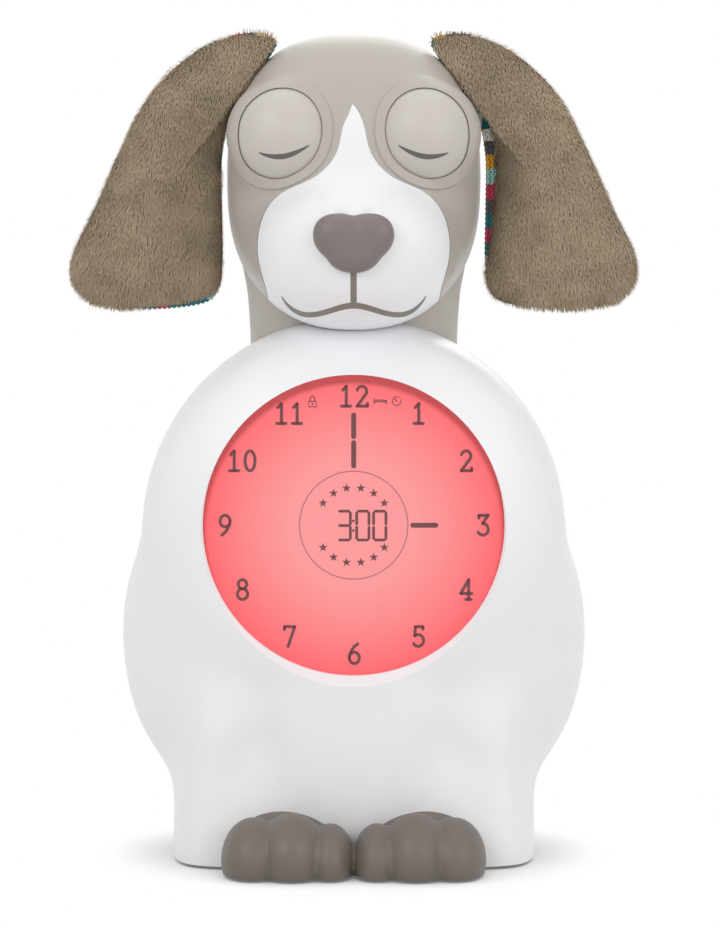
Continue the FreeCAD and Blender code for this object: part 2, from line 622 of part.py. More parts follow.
cells = []
contacts = []
for i in range(CELL_COUNT):
    z = CELL_Z + i * pitch
    way = 1 if i % 2 == 0 else -1
    can = rod_x(CELL_Y, z, -CELL_LENGTH / 2, CELL_LENGTH / 2 - 0.8, CELL_RADIUS)
    tip = rod_x(CELL_Y, z, CELL_LENGTH / 2 - 0.9, CELL_LENGTH / 2, 1.9)
    cell = can.fuse(tip)
    cells.append(cell if way > 0 else mirrored(cell))
    plate = block(room_half - 0.4, room_half, CELL_Y - 4, CELL_Y + 4, z - 4, z + 4)
    cup = Part.makeCone(3.2, 2.0, CONTACT_SPACE - 0.4, Vector(room_half - 0.4, CELL_Y, z),
                        Vector(-1, 0, 0))
    spring = plate.fuse(cup).removeSplitter()
    contacts += both_sides(spring)

# Head shells. The rims of the eye sockets stand a little proud of the skull.

socket_outer = EYE_RADIUS + EYE_GAP + SOCKET_WALL
skull_grown = head_form(-RIM_HEIGHT)
rims = []
sockets = []
for side in (-1, 1):
    cup = ball(side * EYE_X, EYE_Y, EYE_Z, socket_outer).common(skull_grown)
    rims.append(cup.common(block(-FAR, FAR, -FAR, EYE_Y + 1, 0, 2 * FAR)))
    sockets.append(ball(side * EYE_X, EYE_Y, EYE_Z, EYE_RADIUS + EYE_GAP))
train_half = CHEEK_START + CHEEK_THICKNESS + 0.4
train_room = block(-train_half, train_half, EYE_Y - 12, FAR, EYE_Z - 12, EYE_Z + 12)
rims = [rim.cut(train_room.common(head_clear)) for rim in rims]

head_front_half = block(-FAR, FAR, -FAR, HEAD_PARTING_Y, 0, 2 * FAR)
head_rear_half = block(-FAR, FAR, HEAD_PARTING_Y, FAR, 0, 2 * FAR)
head_points = [(28.0, HEAD_Z - 9), (22.0, HEAD_Z + 33)]
head_seat = HEAD_PARTING_Y + 5
head_fronts = []
head_rears = []
head_holes = []
head_screws = []
for x, z in head_points:
    for side in (-1, 1):
        parts = boss_pair(side * x, z, HEAD_PARTING_Y, head_middle, head_seat, 8)
        head_fronts.append(parts[0].common(block(-FAR, FAR, 1, FAR, 0, 2 * FAR)))
        head_rears.append(parts[1])
        head_holes.append(parts[2])
        head_screws.append(screw(side * x, z, head_seat, 12, -1))

mask_right = [(1.0, 229.8), (3.2, 224.5), (4.6, 218.2), (7.3, 213.4), (13.4, 208.6),
              (19.5, 206.0), (25.3, 201.2), (28.6, 192.4), (28.4, 184.0), (26.0, 174.0),
              (25.0, 150.0)]
mask_outline = [(0.0, 231.2)] + mask_right + [(-x, z) for x, z in reversed(mask_right)]


def mask_prism(grow):
    face = closed_curve([(x * (1 + grow / 28), z + (grow if z > 225 else 0))
                         for x, z in mask_outline], -FAR)
    return face.extrude(Vector(0, FAR - 8, 0))


drum_clear = body_form(-EAR_GAP)
head_wall = head.cut(head_inner)
eye_rim_zone = Part.makeCompound([ball(s * EYE_X, EYE_Y, EYE_Z, socket_outer + 0.1)
                                  for s in (-1, 1)])
face_mask = head_wall.common(mask_prism(0)).cut(eye_rim_zone).cut(drum_clear)
face_mask = max(face_mask.Solids, key=lambda s: s.Volume)
head_front = head_wall.common(head_front_half).cut(mask_prism(0.15))
head_front = fuse_all([head_front] + rims + head_fronts)
for tool in sockets + [neck_hole, drum_clear] + head_holes:
    head_front = head_front.cut(tool)
head_front = max(head_front.Solids, key=lambda s: s.Volume)

cheek_end = HEAD_Y + 16.0
arm_x = 14.0
arms = [rod_y(s * arm_x, EYE_Z, cheek_end + 2.4, FAR, 3.4).common(head_middle) for s in (-1, 1)]
arm_holes = [rod_y(s * arm_x, EYE_Z, cheek_end - 1, cheek_end + 11, SCREW_RADIUS + SCREW_GAP)
             for s in (-1, 1)]
head_rear = head_wall.common(head_rear_half)
head_rear = fuse_all([head_rear] + head_rears + arms)
for tool in [neck_hole, drum_clear] + head_holes + arm_holes:
    head_rear = head_rear.cut(tool)
head_rear = max(head_rear.Solids, key=lambda s: s.Volume)
for side in (-1, 1):
    head_screws.append(screw(side * arm_x, EYE_Z, cheek_end, 11, 1))

# Nose and mouth on the mask.

nose_lobes = [lobe((s * 4.6, HEAD_Y - 51.6, HEAD_Z - 16.4), 7.4, (5.6, 9), (7, 6.2), 2.2, 2.4)
              for s in (-1, 1)]
nose_lobes.append(lobe((0, HEAD_Y - 51.6, HEAD_Z - 20.6), 8.4, (5.8, 9), (7.2, 8), 2.2, 2.4))
nose = skin((0, HEAD_Y - 51, HEAD_Z - 18.6), nose_lobes, 12, 0, 10, 24, "Y", 6).cut(head)
nose = max(nose.Solids, key=lambda s: s.Volume)
smile = [(-21.6, 174.0), (-19.4, 170.9), (-15.9, 168.7), (-8.4, 169.3), (0.0, 171.4),
         (8.4, 169.3), (15.9, 168.7), (19.4, 170.9), (21.6, 174.0)]
smile_widths = [0.3, 1.0, 1.6, 1.7, 1.9, 1.7, 1.6, 1.0, 0.3]
mouth_tool = stroke(smile, smile_widths, -FAR, FAR - 12)
mouth_tool = mouth_tool.fuse(block(-0.95, 0.95, -FAR, -12, 171.2, HEAD_Z - 24.5))
mouth = mouth_tool.common(face_mask).cut(head_form(0.6)).cut(nose)
face_mask = face_mask.cut(mouth_tool.common(head).cut(head_form(0.6)).cut(nose))
face_mask = max(face_mask.Solids, key=lambda s: s.Volume)

# Eyes: one axle, two balls, each with a lid over its upper front half and a lash on the
# lid. A quarter turn and a bit more brings the iris to the front.

trim = block(-CHEEK_START - CHEEK_THICKNESS - 1.0, CHEEK_START + CHEEK_THICKNESS + 1.0,
             -FAR, FAR, 0, 2 * FAR)
lid_turn = 30.0
lid_side = block(-FAR, FAR, -FAR, 0, -FAR, FAR)
lid_side.rotate(Vector(0, 0, 0), Vector(1, 0, 0), -lid_turn)
lid_side.translate(Vector(0, EYE_Y, EYE_Z))
eye_parts = {"left": -1, "right": 1}
irises = []
lashes = []
eye_balls = {}
eye_lids = {}
bore = rod_x(EYE_Y, EYE_Z, -FAR, FAR, AXLE_RADIUS)
for name, side in eye_parts.items():
    whole = ball(side * EYE_X, EYE_Y, EYE_Z, EYE_RADIUS).cut(trim)
    core = ball(side * EYE_X, EYE_Y, EYE_Z, EYE_RADIUS - LID_THICKNESS).cut(trim)
    lid = whole.common(lid_side).cut(core)
    eye = whole.cut(lid).cut(bore)
    gaze = Vector(0, -math.cos(math.radians(EYE_TURN)), -math.sin(math.radians(EYE_TURN)))
    centre = Vector(side * EYE_X, EYE_Y, EYE_Z)
    pupil = Part.makeCylinder(7.0, EYE_RADIUS + 2, centre, gaze)
    skin_shell = ball(side * EYE_X, EYE_Y, EYE_Z, EYE_RADIUS)
    skin_shell = skin_shell.cut(ball(side * EYE_X, EYE_Y, EYE_Z, EYE_RADIUS - 0.8))
    iris = pupil.common(skin_shell)
    eye = eye.cut(iris)
    lash_path = [(-28.3, 216.8), (-24.6, 215.7), (-20.7, 215.7), (-16.8, 217.0), (-13.2, 219.0)]
    lash_path = [(side * -x, z) for x, z in lash_path]
    lash_tool = stroke(lash_path, [0.3, 1.3, 1.6, 1.2, 0.3], -FAR, FAR + EYE_Y)
    thin_shell = skin_shell.cut(ball(side * EYE_X, EYE_Y, EYE_Z, EYE_RADIUS - 0.5))
    lash = lash_tool.common(thin_shell)
    lid = lid.cut(lash_tool.common(thin_shell))
    irises.append(iris)
    lashes.append(lash)
    eye_balls[name] = eye
    eye_lids[name] = lid
axle_end = EYE_X + EYE_RADIUS - 2.5
eye_axle = rod_x(EYE_Y, EYE_Z, -axle_end, axle_end, AXLE_RADIUS)
for name in eye_parts:
    eye_lids[name] = eye_lids[name].cut(bore)


def gear(teeth, y, z, phase, hole):
    """Spur gear on an axle along X, its teeth bounded by true involutes."""
    pressure = math.radians(20)
    pitch_radius = MODULE * teeth / 2
    base_radius = pitch_radius * math.cos(pressure)
    tip = pitch_radius + MODULE * 0.95
    root = pitch_radius - MODULE * 1.25
    half = math.pi / (2 * teeth) - BACKLASH / 2 / pitch_radius
    start = math.tan(pressure) - pressure
    flank = []
    for step in range(5):
        radius = max(base_radius, root) + (tip - max(base_radius, root)) * step / 4
        roll = math.acos(min(1.0, base_radius / radius))
        flank.append((radius, half + start - (math.tan(roll) - roll)))
    points = []
    for tooth in range(teeth):
        middle = phase + 2 * math.pi * tooth / teeth
        side = [(root, flank[0][1])] + flank
        points += [(r, middle - a) for r, a in side]
        points += [(r, middle + a) for r, a in reversed(side)]
    corners = [Vector(-GEAR_WIDTH / 2, y + r * math.cos(a), z + r * math.sin(a))
               for r, a in points]
    face = Part.Face(Part.makePolygon(corners + corners[:1]))
    blank = face.extrude(Vector(GEAR_WIDTH, 0, 0))
    return blank.cut(rod_x(y, z, -FAR, FAR, hole))


idler_y = EYE_Y + MODULE * (EYE_TEETH + IDLER_TEETH) / 2
pinion_y = idler_y + MODULE * (IDLER_TEETH + PINION_TEETH) / 2
pin_radius = 1.5
shaft_radius = 1.5
eye_gear = gear(EYE_TEETH, EYE_Y, EYE_Z, 0.0, AXLE_RADIUS)
idler_phase = math.pi + math.pi / IDLER_TEETH
idler = gear(IDLER_TEETH, idler_y, EYE_Z, idler_phase, pin_radius + RUNNING_GAP)
pinion_phase = math.pi + math.pi / PINION_TEETH * (IDLER_TEETH % 2)
pinion = gear(PINION_TEETH, pinion_y, EYE_Z, pinion_phase, shaft_radius)
motor_start = CHEEK_START + CHEEK_THICKNESS
shaft = rod_x(pinion_y, EYE_Z, -GEAR_WIDTH / 2 - 0.6, motor_start, shaft_radius)
motor = rod_x(pinion_y, EYE_Z, motor_start, motor_start + MOTOR_LENGTH, MOTOR_RADIUS)
motor = motor.common(block(0, FAR, pinion_y - MOTOR_RADIUS, pinion_y + MOTOR_RADIUS, EYE_Z - 5,
                           EYE_Z + 5))
gearbox = block(motor_start, motor_start + 8.5, pinion_y - MOTOR_RADIUS, pinion_y + MOTOR_RADIUS,
                EYE_Z - 5, EYE_Z + 5)
motor = motor.fuse(gearbox).removeSplitter()
idler_pin = rod_x(idler_y, EYE_Z, -CHEEK_START - CHEEK_THICKNESS, motor_start, pin_radius)

cheeks = []
for side in (-1, 1):
    x0, x1 = sorted((side * CHEEK_START, side * (CHEEK_START + CHEEK_THICKNESS)))
    plate = block(x0, x1, EYE_Y, cheek_end + 2.4, EYE_Z - 5, EYE_Z + 5)
    plate = plate.fuse(rod_x(EYE_Y, EYE_Z, x0, x1, 5.0))
    plate = plate.cut(rod_x(EYE_Y, EYE_Z, -FAR, FAR, AXLE_RADIUS + RUNNING_GAP))
    plate = plate.cut(rod_x(idler_y, EYE_Z, -FAR, FAR, pin_radius))
    plate = plate.cut(rod_x(pinion_y, EYE_Z, -FAR, FAR, shaft_radius + RUNNING_GAP))
    cheeks.append(plate)
cross = block(-arm_x - 4.5, arm_x + 4.5, cheek_end, cheek_end + 2.4, EYE_Z - 6, EYE_Z + 6)
drive_frame = fuse_all(cheeks + [cross])
drive_frame = drive_frame.cut(Part.makeCompound(arm_holes))

# Ears: a padded plush flap with a thin knitted lining behind it.

ear_outline = [(-23.5, 251.0), (-30.2, 253.6), (-39.4, 252.5), (-50.1, 247.0), (-62.5, 235.0),
               (-71.7, 218.0), (-79.5, 200.5), (-86.0, 187.3), (-87.2, 179.6), (-84.2, 173.8),
               (-78.1, 170.6), (-62.7, 169.2), (-47.0, 170.8), (-41.5, 175.0), (-40.2, 184.2),
               (-40.4, 202.6), (-40.2, 217.0), (-37.3, 228.7), (-28.6, 242.0)]
ear_middle = (-58.0, 205.0)


def cushion(outline, middle, level, depth):
    """A pillow half: rings of the outline shrink toward the middle as the form rises."""
    wires = []
    for scale, rise in ((1, 0), (0.975, 0.37), (0.91, 0.66), (0.8, 0.85), (0.62, 0.955),
                        (0.4, 0.995), (0.18, 1)):
        points = [Vector(middle[0] + (x - middle[0]) * scale, level + depth * rise,
                         middle[1] + (z - middle[1]) * scale) for x, z in outline]
        curve = Part.BSplineCurve()
        steps = [float(t) for t in range(len(outline) + 1)]
        curve.interpolate(Points=points, PeriodicFlag=True, Parameters=steps)
        wires.append(Part.Wire([curve.toShape()]))
    return Part.makeLoft(wires, True, False, False)


skull_clear = head_form(-EAR_GAP)
skull_from_lifted_ear = skull_clear.copy()
skull_from_lifted_ear.rotate(Vector(-EAR_PIVOT_X, EAR_PLANE_Y, EAR_PIVOT_Z), Vector(0, 1, 0),
                             -EAR_LIFT)
ear_plush = cushion(ear_outline, ear_middle, EAR_PLANE_Y, -EAR_PLUSH)
ear_lining = cushion(ear_outline, ear_middle, EAR_PLANE_Y, EAR_LINING)
for tool in [skull_clear, skull_from_lifted_ear]:
    ear_plush = ear_plush.cut(tool)
    ear_lining = ear_lining.cut(tool)
ear_plush = max(ear_plush.Solids, key=lambda s: s.Volume)
ear_lining = max(ear_lining.Solids, key=lambda s: s.Volume)

os.makedirs("parts", exist_ok=True)
nodes = {
    "body_front_shell": front_shell, "body_rear_shell": rear_shell, "base_plate": base_plate,
    "front_paws": paws, "neck_tube": neck_tube, "display_lens": lens, "lcd_panel": lcd,
    "light_diffuser": diffuser, "display_frame": frame, "led_board": led_board,
    "board_header": board_header, "main_board": main_board, "display_ribbon": flex,
    "control_panel": panel, "key_board": key_board, "speaker_basket": basket,
    "speaker_cone": cone, "battery_door": door, "door_screw": door_screw,
    "power_socket": power_socket, "head_front_shell": head_front, "head_rear_shell": head_rear,
    "face_mask": face_mask, "nose": nose, "mouth_line": mouth, "eye_axle": eye_axle,
    "eyeball_left": eye_balls["left"], "eyeball_right": eye_balls["right"],
    "eyelid_left": eye_lids["left"], "eyelid_right": eye_lids["right"], "eye_gear": eye_gear,
    "idler_gear": idler, "idler_pin": idler_pin, "motor_pinion": pinion.fuse(shaft),
    "drive_motor": motor, "drive_frame": drive_frame, "ear_left_plush": ear_plush,
    "ear_right_plush": mirrored(ear_plush), "ear_left_lining": ear_lining,
    "ear_right_lining": mirrored(ear_lining)}
nodes.update(dict(zip(key_names, keys)))
groups = {
    "case_screws": case_screws, "base_screws": base_screws, "display_screws": display_screws,
    "head_screws": head_screws, "rubber_feet": feet, "backlight_leds": leds,
    "board_parts": board_parts, "key_switches": switches, "battery_cells": cells,
    "battery_contacts": contacts, "eye_lashes": lashes, "eye_irises": irises}
for name, solids in groups.items():
    nodes[name] = Part.makeCompound(solids)
for name, shape in nodes.items():
    save(name, shape)
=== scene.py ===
import bmesh
import bpy
import math
import random
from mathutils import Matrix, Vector, noise


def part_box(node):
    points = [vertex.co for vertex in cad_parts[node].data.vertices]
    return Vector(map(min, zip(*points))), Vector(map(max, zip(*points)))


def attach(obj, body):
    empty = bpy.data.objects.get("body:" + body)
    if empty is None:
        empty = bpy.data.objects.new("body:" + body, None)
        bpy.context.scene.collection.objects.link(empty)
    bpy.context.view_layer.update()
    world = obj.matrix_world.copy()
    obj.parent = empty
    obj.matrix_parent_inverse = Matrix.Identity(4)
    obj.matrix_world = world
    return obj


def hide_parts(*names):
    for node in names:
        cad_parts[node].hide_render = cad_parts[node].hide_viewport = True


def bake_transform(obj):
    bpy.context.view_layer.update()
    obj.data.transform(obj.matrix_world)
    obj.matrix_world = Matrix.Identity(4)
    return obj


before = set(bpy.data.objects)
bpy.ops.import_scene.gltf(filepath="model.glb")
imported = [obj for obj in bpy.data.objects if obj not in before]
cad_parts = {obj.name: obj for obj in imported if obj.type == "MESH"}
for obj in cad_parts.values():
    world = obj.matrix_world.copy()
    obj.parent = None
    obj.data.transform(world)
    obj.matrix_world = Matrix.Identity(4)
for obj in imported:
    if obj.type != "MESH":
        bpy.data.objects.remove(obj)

bl_info = {
    "name": "Dog bedside clock",
    "version": (1, 0, 0),
    "blender": (4, 5, 0),
    "location": "3D View > Sidebar > Clock",
    "description": "Dresses the packed clock with its dial print, plush ears and finishes",
    "category": "Object",
}

MM = 0.001

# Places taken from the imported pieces.
LENS_LOW, LENS_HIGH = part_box("display_lens")
DIAL_X = (LENS_LOW.x + LENS_HIGH.x) / 2
DIAL_Z = (LENS_LOW.z + LENS_HIGH.z) / 2
DIAL_CENTRE = (DIAL_X, DIAL_Z)
OPENING_OVERLAP = 1.4 * MM
DIAL_RADIUS = LENS_HIGH.x - OPENING_OVERLAP
PRINT_Y = LENS_LOW.y
PRINT_THICKNESS = 0.06 * MM
EAR_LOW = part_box("ear_right_plush")[0]
LINING_LOW, LINING_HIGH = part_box("ear_right_lining")
SEAM_Y = LINING_LOW.y


def linear(red, green, blue):
    """Screen colour from 0 to 255 as the linear colour that a shader takes."""
    def channel(value):
        value = value / 255
        return value / 12.92 if value <= 0.04045 else ((value + 0.055) / 1.055) ** 2.4
    return channel(red), channel(green), channel(blue)


class ClockSizes(bpy.types.PropertyGroup):
    numeral_height: bpy.props.FloatProperty(
        name="Numeral height", description="Height of the dial numbers",
        default=6.9 * MM, unit="LENGTH")
    numeral_ring: bpy.props.FloatProperty(
        name="Numeral ring", description="Radius of the ring that the numbers stand on",
        default=38.9 * MM, unit="LENGTH")
    pile_length: bpy.props.FloatProperty(
        name="Pile length", description="Length of the plush fibres",
        default=2.0 * MM, unit="LENGTH")
    pile_count: bpy.props.IntProperty(
        name="Pile count", description="Number of plush tufts on one ear", default=26000)
    stitch_width: bpy.props.FloatProperty(
        name="Stitch width", description="Width of one knitted stitch of the lining",
        default=1.5 * MM, unit="LENGTH")


class ClockColours(bpy.types.PropertyGroup):
    body: bpy.props.FloatVectorProperty(
        name="Body", description="White moulded body", subtype="COLOR",
        default=linear(238, 239, 241))
    head: bpy.props.FloatVectorProperty(
        name="Head", description="Warm grey skull and neck", subtype="COLOR",
        default=linear(182, 175, 168))
    lids: bpy.props.FloatVectorProperty(
        name="Lids", description="Eyelids", subtype="COLOR", default=linear(200, 193, 187))
    paws: bpy.props.FloatVectorProperty(
        name="Paws", description="Paws and keys", subtype="COLOR",
        default=linear(113, 105, 98))
    nose: bpy.props.FloatVectorProperty(
        name="Nose", description="Nose", subtype="COLOR", default=linear(125, 116, 112))
    glow: bpy.props.FloatVectorProperty(
        name="Glow", description="Light at the rim of the dial", subtype="COLOR",
        default=linear(252, 98, 104))
    glow_middle: bpy.props.FloatVectorProperty(
        name="Glow middle", description="Light at the middle of the dial", subtype="COLOR",
        default=linear(250, 150, 151))
    print_ink: bpy.props.FloatVectorProperty(
        name="Segments", description="Dark parts of the liquid crystal dial",
        subtype="COLOR", default=linear(112, 62, 64))
    plush: bpy.props.FloatVectorProperty(
        name="Plush", description="Plush of the ears", subtype="COLOR",
        default=linear(178, 161, 137))


def sizes():
    return bpy.context.scene.clock_sizes


def colours():
    return bpy.context.scene.clock_colours


# Materials.

def new_material(name):
    material = bpy.data.materials.new(name)
    material.use_nodes = True
    nodes = material.node_tree.nodes
    shader = nodes["Principled BSDF"]
    return material, nodes, material.node_tree.links, shader


def noise_node(nodes, links, scale, detail=3.0, stretch=None):
    coords = nodes.new("ShaderNodeTexCoord")
    texture = nodes.new("ShaderNodeTexNoise")
    texture.inputs["Scale"].default_value = scale
    texture.inputs["Detail"].default_value = detail
    if stretch:
        mapping = nodes.new("ShaderNodeMapping")
        mapping.inputs["Scale"].default_value = stretch
        links.new(coords.outputs["Object"], mapping.inputs["Vector"])
        links.new(mapping.outputs["Vector"], texture.inputs["Vector"])
    else:
        links.new(coords.outputs["Object"], texture.inputs["Vector"])
    return texture


def ramp_node(nodes, links, source, stops, blend="LINEAR"):
    ramp = nodes.new("ShaderNodeValToRGB")
    ramp.color_ramp.interpolation = blend
    elements = ramp.color_ramp.elements
    while len(elements) > 1:
        elements.remove(elements[-1])
    elements[0].position, first = stops[0]
    elements[0].color = (*first, 1)
    for position, colour in stops[1:]:
        elements.new(position).color = (*colour, 1)
    links.new(source, ramp.inputs["Fac"])
    return ramp


def map_node(nodes, links, source, low, high, start=0.3, end=0.7):
    ranged = nodes.new("ShaderNodeMapRange")
    ranged.inputs["From Min"].default_value = start
    ranged.inputs["From Max"].default_value = end
    ranged.inputs["To Min"].default_value = low
    ranged.inputs["To Max"].default_value = high
    links.new(source, ranged.inputs["Value"])
    return ranged.outputs["Result"]


def bump_node(nodes, links, source, strength, distance, shader):
    bump = nodes.new("ShaderNodeBump")
    bump.inputs["Strength"].default_value = strength
    bump.inputs["Distance"].default_value = distance
    links.new(source, bump.inputs["Height"])
    links.new(bump.outputs["Normal"], shader.inputs["Normal"])
    return bump


def shade(colour, factor):
    return tuple(min(1.0, channel * factor) for channel in colour)


def moulded_plastic(name, colour, roughness, spread=0.025, grain=900.0, depth=0.12):
    """Injection moulded plastic: a fine satin grain with faint flow clouds."""
    material, nodes, links, shader = new_material(name)
    clouds = noise_node(nodes, links, 22.0, 4.0)
    tint = ramp_node(nodes, links, clouds.outputs["Fac"],
                     [(0.25, shade(colour, 1 - spread)), (0.75, shade(colour, 1 + spread / 2))])
    links.new(tint.outputs["Color"], shader.inputs["Base Color"])
    grit = noise_node(nodes, links, grain, 2.0)
    links.new(map_node(nodes, links, clouds.outputs["Fac"], roughness - 0.03, roughness + 0.05),
              shader.inputs["Roughness"])
    bump_node(nodes, links, grit.outputs["Fac"], depth, 0.00008, shader)
    shader.inputs["Specular IOR Level"].default_value = 0.42
    shader.inputs["Subsurface Weight"].default_value = 0.04
    shader.inputs["Subsurface Radius"].default_value = (0.004, 0.003, 0.0025)
    return material


def metal(name, colour, roughness):
    material, nodes, links, shader = new_material(name)
    lines = noise_node(nodes, links, 400.0, 2.0, (1, 1, 14))
    tint = ramp_node(nodes, links, lines.outputs["Fac"],
                     [(0.3, shade(colour, 0.88)), (0.7, colour)])
    links.new(tint.outputs["Color"], shader.inputs["Base Color"])
    links.new(map_node(nodes, links, lines.outputs["Fac"], roughness - 0.06, roughness + 0.08),
              shader.inputs["Roughness"])
    shader.inputs["Metallic"].default_value = 1.0
    return material


def circuit_board(name, colour):
    material, nodes, links, shader = new_material(name)
    tracks = nodes.new("ShaderNodeTexBrick")
    coords = nodes.new("ShaderNodeTexCoord")
    mapping = nodes.new("ShaderNodeMapping")
    mapping.inputs["Rotation"].default_value = (math.radians(90), 0, 0)
    tracks.inputs["Scale"].default_value = 120.0
    tracks.inputs["Mortar Size"].default_value = 0.03
    tracks.inputs["Color1"].default_value = (*colour, 1)
    tracks.inputs["Color2"].default_value = (*shade(colour, 0.85), 1)
    tracks.inputs["Mortar"].default_value = (*shade(colour, 1.5), 1)
    links.new(coords.outputs["Object"], mapping.inputs["Vector"])
    links.new(mapping.outputs["Vector"], tracks.inputs["Vector"])
    links.new(tracks.outputs["Color"], shader.inputs["Base Color"])
    shader.inputs["Roughness"].default_value = 0.35
    return material


def rubber(name, colour):
    material, nodes, links, shader = new_material(name)
    speckle = noise_node(nodes, links, 700.0, 3.0)
    tint = ramp_node(nodes, links, speckle.outputs["Fac"],
                     [(0.3, shade(colour, 0.7)), (0.7, shade(colour, 1.3))])
    links.new(tint.outputs["Color"], shader.inputs["Base Color"])
    shader.inputs["Roughness"].default_value = 0.85
    bump_node(nodes, links, speckle.outputs["Fac"], 0.3, 0.0001, shader)
    return material


def clear_lens(name):
    """Thin clear cover: lets the panel through and keeps a faint gloss."""
    material = bpy.data.materials.new(name)
    material.use_nodes = True
    nodes, links = material.node_tree.nodes, material.node_tree.links
    nodes.remove(nodes["Principled BSDF"])
    clear = nodes.new("ShaderNodeBsdfTransparent")
    gloss = nodes.new("ShaderNodeBsdfGlossy")
    gloss.inputs["Roughness"].default_value = 0.25
    mix = nodes.new("ShaderNodeMixShader")
    mix.inputs["Fac"].default_value = 0.02
    flat = nodes.new("ShaderNodeNewGeometry")
    links.new(flat.outputs["True Normal"], gloss.inputs["Normal"])
    links.new(clear.outputs["BSDF"], mix.inputs[1])
    links.new(gloss.outputs["BSDF"], mix.inputs[2])
    links.new(mix.outputs["Shader"], nodes["Material Output"].inputs["Surface"])
    return material


def lit_panel(name):
    """Backlit panel: pale in the middle, deeper toward the rim, painted shade under the top edge.
    """
    material, nodes, links, shader = new_material(name)
    coords = nodes.new("ShaderNodeTexCoord")

    def distance_from(x, z):
        flat = nodes.new("ShaderNodeVectorMath")
        flat.operation = "MULTIPLY"
        flat.inputs[1].default_value = (1, 0, 1)
        links.new(coords.outputs["Object"], flat.inputs[0])
        away = nodes.new("ShaderNodeVectorMath")
        away.operation = "DISTANCE"
        away.inputs[1].default_value = (x, 0, z)
        links.new(flat.outputs["Vector"], away.inputs[0])
        scaled = nodes.new("ShaderNodeMath")
        scaled.operation = "DIVIDE"
        scaled.inputs[1].default_value = DIAL_RADIUS
        links.new(away.outputs["Value"], scaled.inputs[0])
        return scaled.outputs["Value"]

    middle = tuple(colours().glow_middle)
    rim = tuple(colours().glow)
    between = tuple((a + b) / 2 for a, b in zip(middle, rim))
    glow = ramp_node(nodes, links, distance_from(DIAL_X, DIAL_Z),
                     [(0.0, middle), (0.42, middle), (0.72, between), (0.98, rim)])
    # Painted shade: darkens the glow in a thin band under the top edge of the opening, where the
    # rim casts its shadow.
    edge = ramp_node(nodes, links, distance_from(DIAL_X, DIAL_Z - 2.2 * MM),
                     [(0.968, (1, 1, 1)), (0.988, (0.78, 0.66, 0.66)),
                      (1.0, (0.55, 0.4, 0.4))])
    mix = nodes.new("ShaderNodeMix")
    mix.data_type = "RGBA"
    mix.blend_type = "MULTIPLY"
    mix.inputs["Factor"].default_value = 1.0
    links.new(glow.outputs["Color"], mix.inputs["A"])
    links.new(edge.outputs["Color"], mix.inputs["B"])
    links.new(mix.outputs["Result"], shader.inputs["Emission Color"])
    shader.inputs["Base Color"].default_value = (0.02, 0.01, 0.01, 1)
    shader.inputs["Emission Strength"].default_value = 1.0
    shader.inputs["Roughness"].default_value = 0.5
    shader.inputs["Specular IOR Level"].default_value = 0.2
    return material


def segment_ink(name):
    material, nodes, links, shader = new_material(name)
    ink = tuple(colours().print_ink)
    patches = noise_node(nodes, links, 160.0, 2.0)
    tint = ramp_node(nodes, links, patches.outputs["Fac"],
                     [(0.3, shade(ink, 0.94)), (0.7, shade(ink, 1.06))])
    links.new(tint.outputs["Color"], shader.inputs["Emission Color"])
    shader.inputs["Base Color"].default_value = (0.01, 0.005, 0.005, 1)
    shader.inputs["Emission Strength"].default_value = 0.9
    shader.inputs["Roughness"].default_value = 0.6
    return material


def plush_fibre(name, dark, light):
    material, nodes, links, shader = new_material(name)
    tufts = noise_node(nodes, links, 190.0, 4.0)
    clumps = noise_node(nodes, links, 38.0, 2.0)
    total = nodes.new("ShaderNodeMath")
    total.operation = "ADD"
    links.new(tufts.outputs["Fac"], total.inputs[0])
    links.new(clumps.outputs["Fac"], total.inputs[1])
    half = nodes.new("ShaderNodeMath")
    half.operation = "MULTIPLY"
    half.inputs[1].default_value = 0.5
    links.new(total.outputs["Value"], half.inputs[0])
    tint = ramp_node(nodes, links, half.outputs["Value"], [(0.34, dark), (0.64, light)])
    links.new(tint.outputs["Color"], shader.inputs["Base Color"])
    shader.inputs["Roughness"].default_value = 0.9
    shader.inputs["Specular IOR Level"].default_value = 0.1
    shader.inputs["Sheen Weight"].default_value = 0.35
    shader.inputs["Sheen Roughness"].default_value = 0.5
    shader.inputs["Sheen Tint"].default_value = (*light, 1)
    return material


KNIT_BLOCKS = [
    linear(38, 118, 122), linear(190, 62, 92), linear(226, 206, 200), linear(214, 158, 44),
    linear(92, 92, 94), linear(232, 228, 220), linear(150, 196, 186), linear(38, 118, 122),
    linear(190, 62, 92), linear(238, 196, 84), linear(70, 72, 76)]


def knitted_yarn(name):
    """Multicolour knit: yarn blocks change along rows, and the yarn has a fine twist."""
    material, nodes, links, shader = new_material(name)
    coords = nodes.new("ShaderNodeTexCoord")
    cells = nodes.new("ShaderNodeTexVoronoi")
    cells.inputs["Scale"].default_value = 1.0
    cells.inputs["Randomness"].default_value = 0.35
    mapping = nodes.new("ShaderNodeMapping")
    mapping.inputs["Scale"].default_value = (270, 200, 230)
    links.new(coords.outputs["Object"], mapping.inputs["Vector"])
    links.new(mapping.outputs["Vector"], cells.inputs["Vector"])
    split = nodes.new("ShaderNodeSeparateColor")
    links.new(cells.outputs["Color"], split.inputs["Color"])
    stops = [(i / len(KNIT_BLOCKS), colour) for i, colour in enumerate(KNIT_BLOCKS)]
    tint = ramp_node(nodes, links, split.outputs["Red"], stops, "CONSTANT")
    links.new(tint.outputs["Color"], shader.inputs["Base Color"])
    twist = noise_node(nodes, links, 1500.0, 2.0, (1, 1, 0.35))
    bump_node(nodes, links, twist.outputs["Fac"], 0.5, 0.00015, shader)
    shader.inputs["Roughness"].default_value = 0.92
    shader.inputs["Specular IOR Level"].default_value = 0.12
    shader.inputs["Sheen Weight"].default_value = 0.2
    return material


# Mesh helpers.

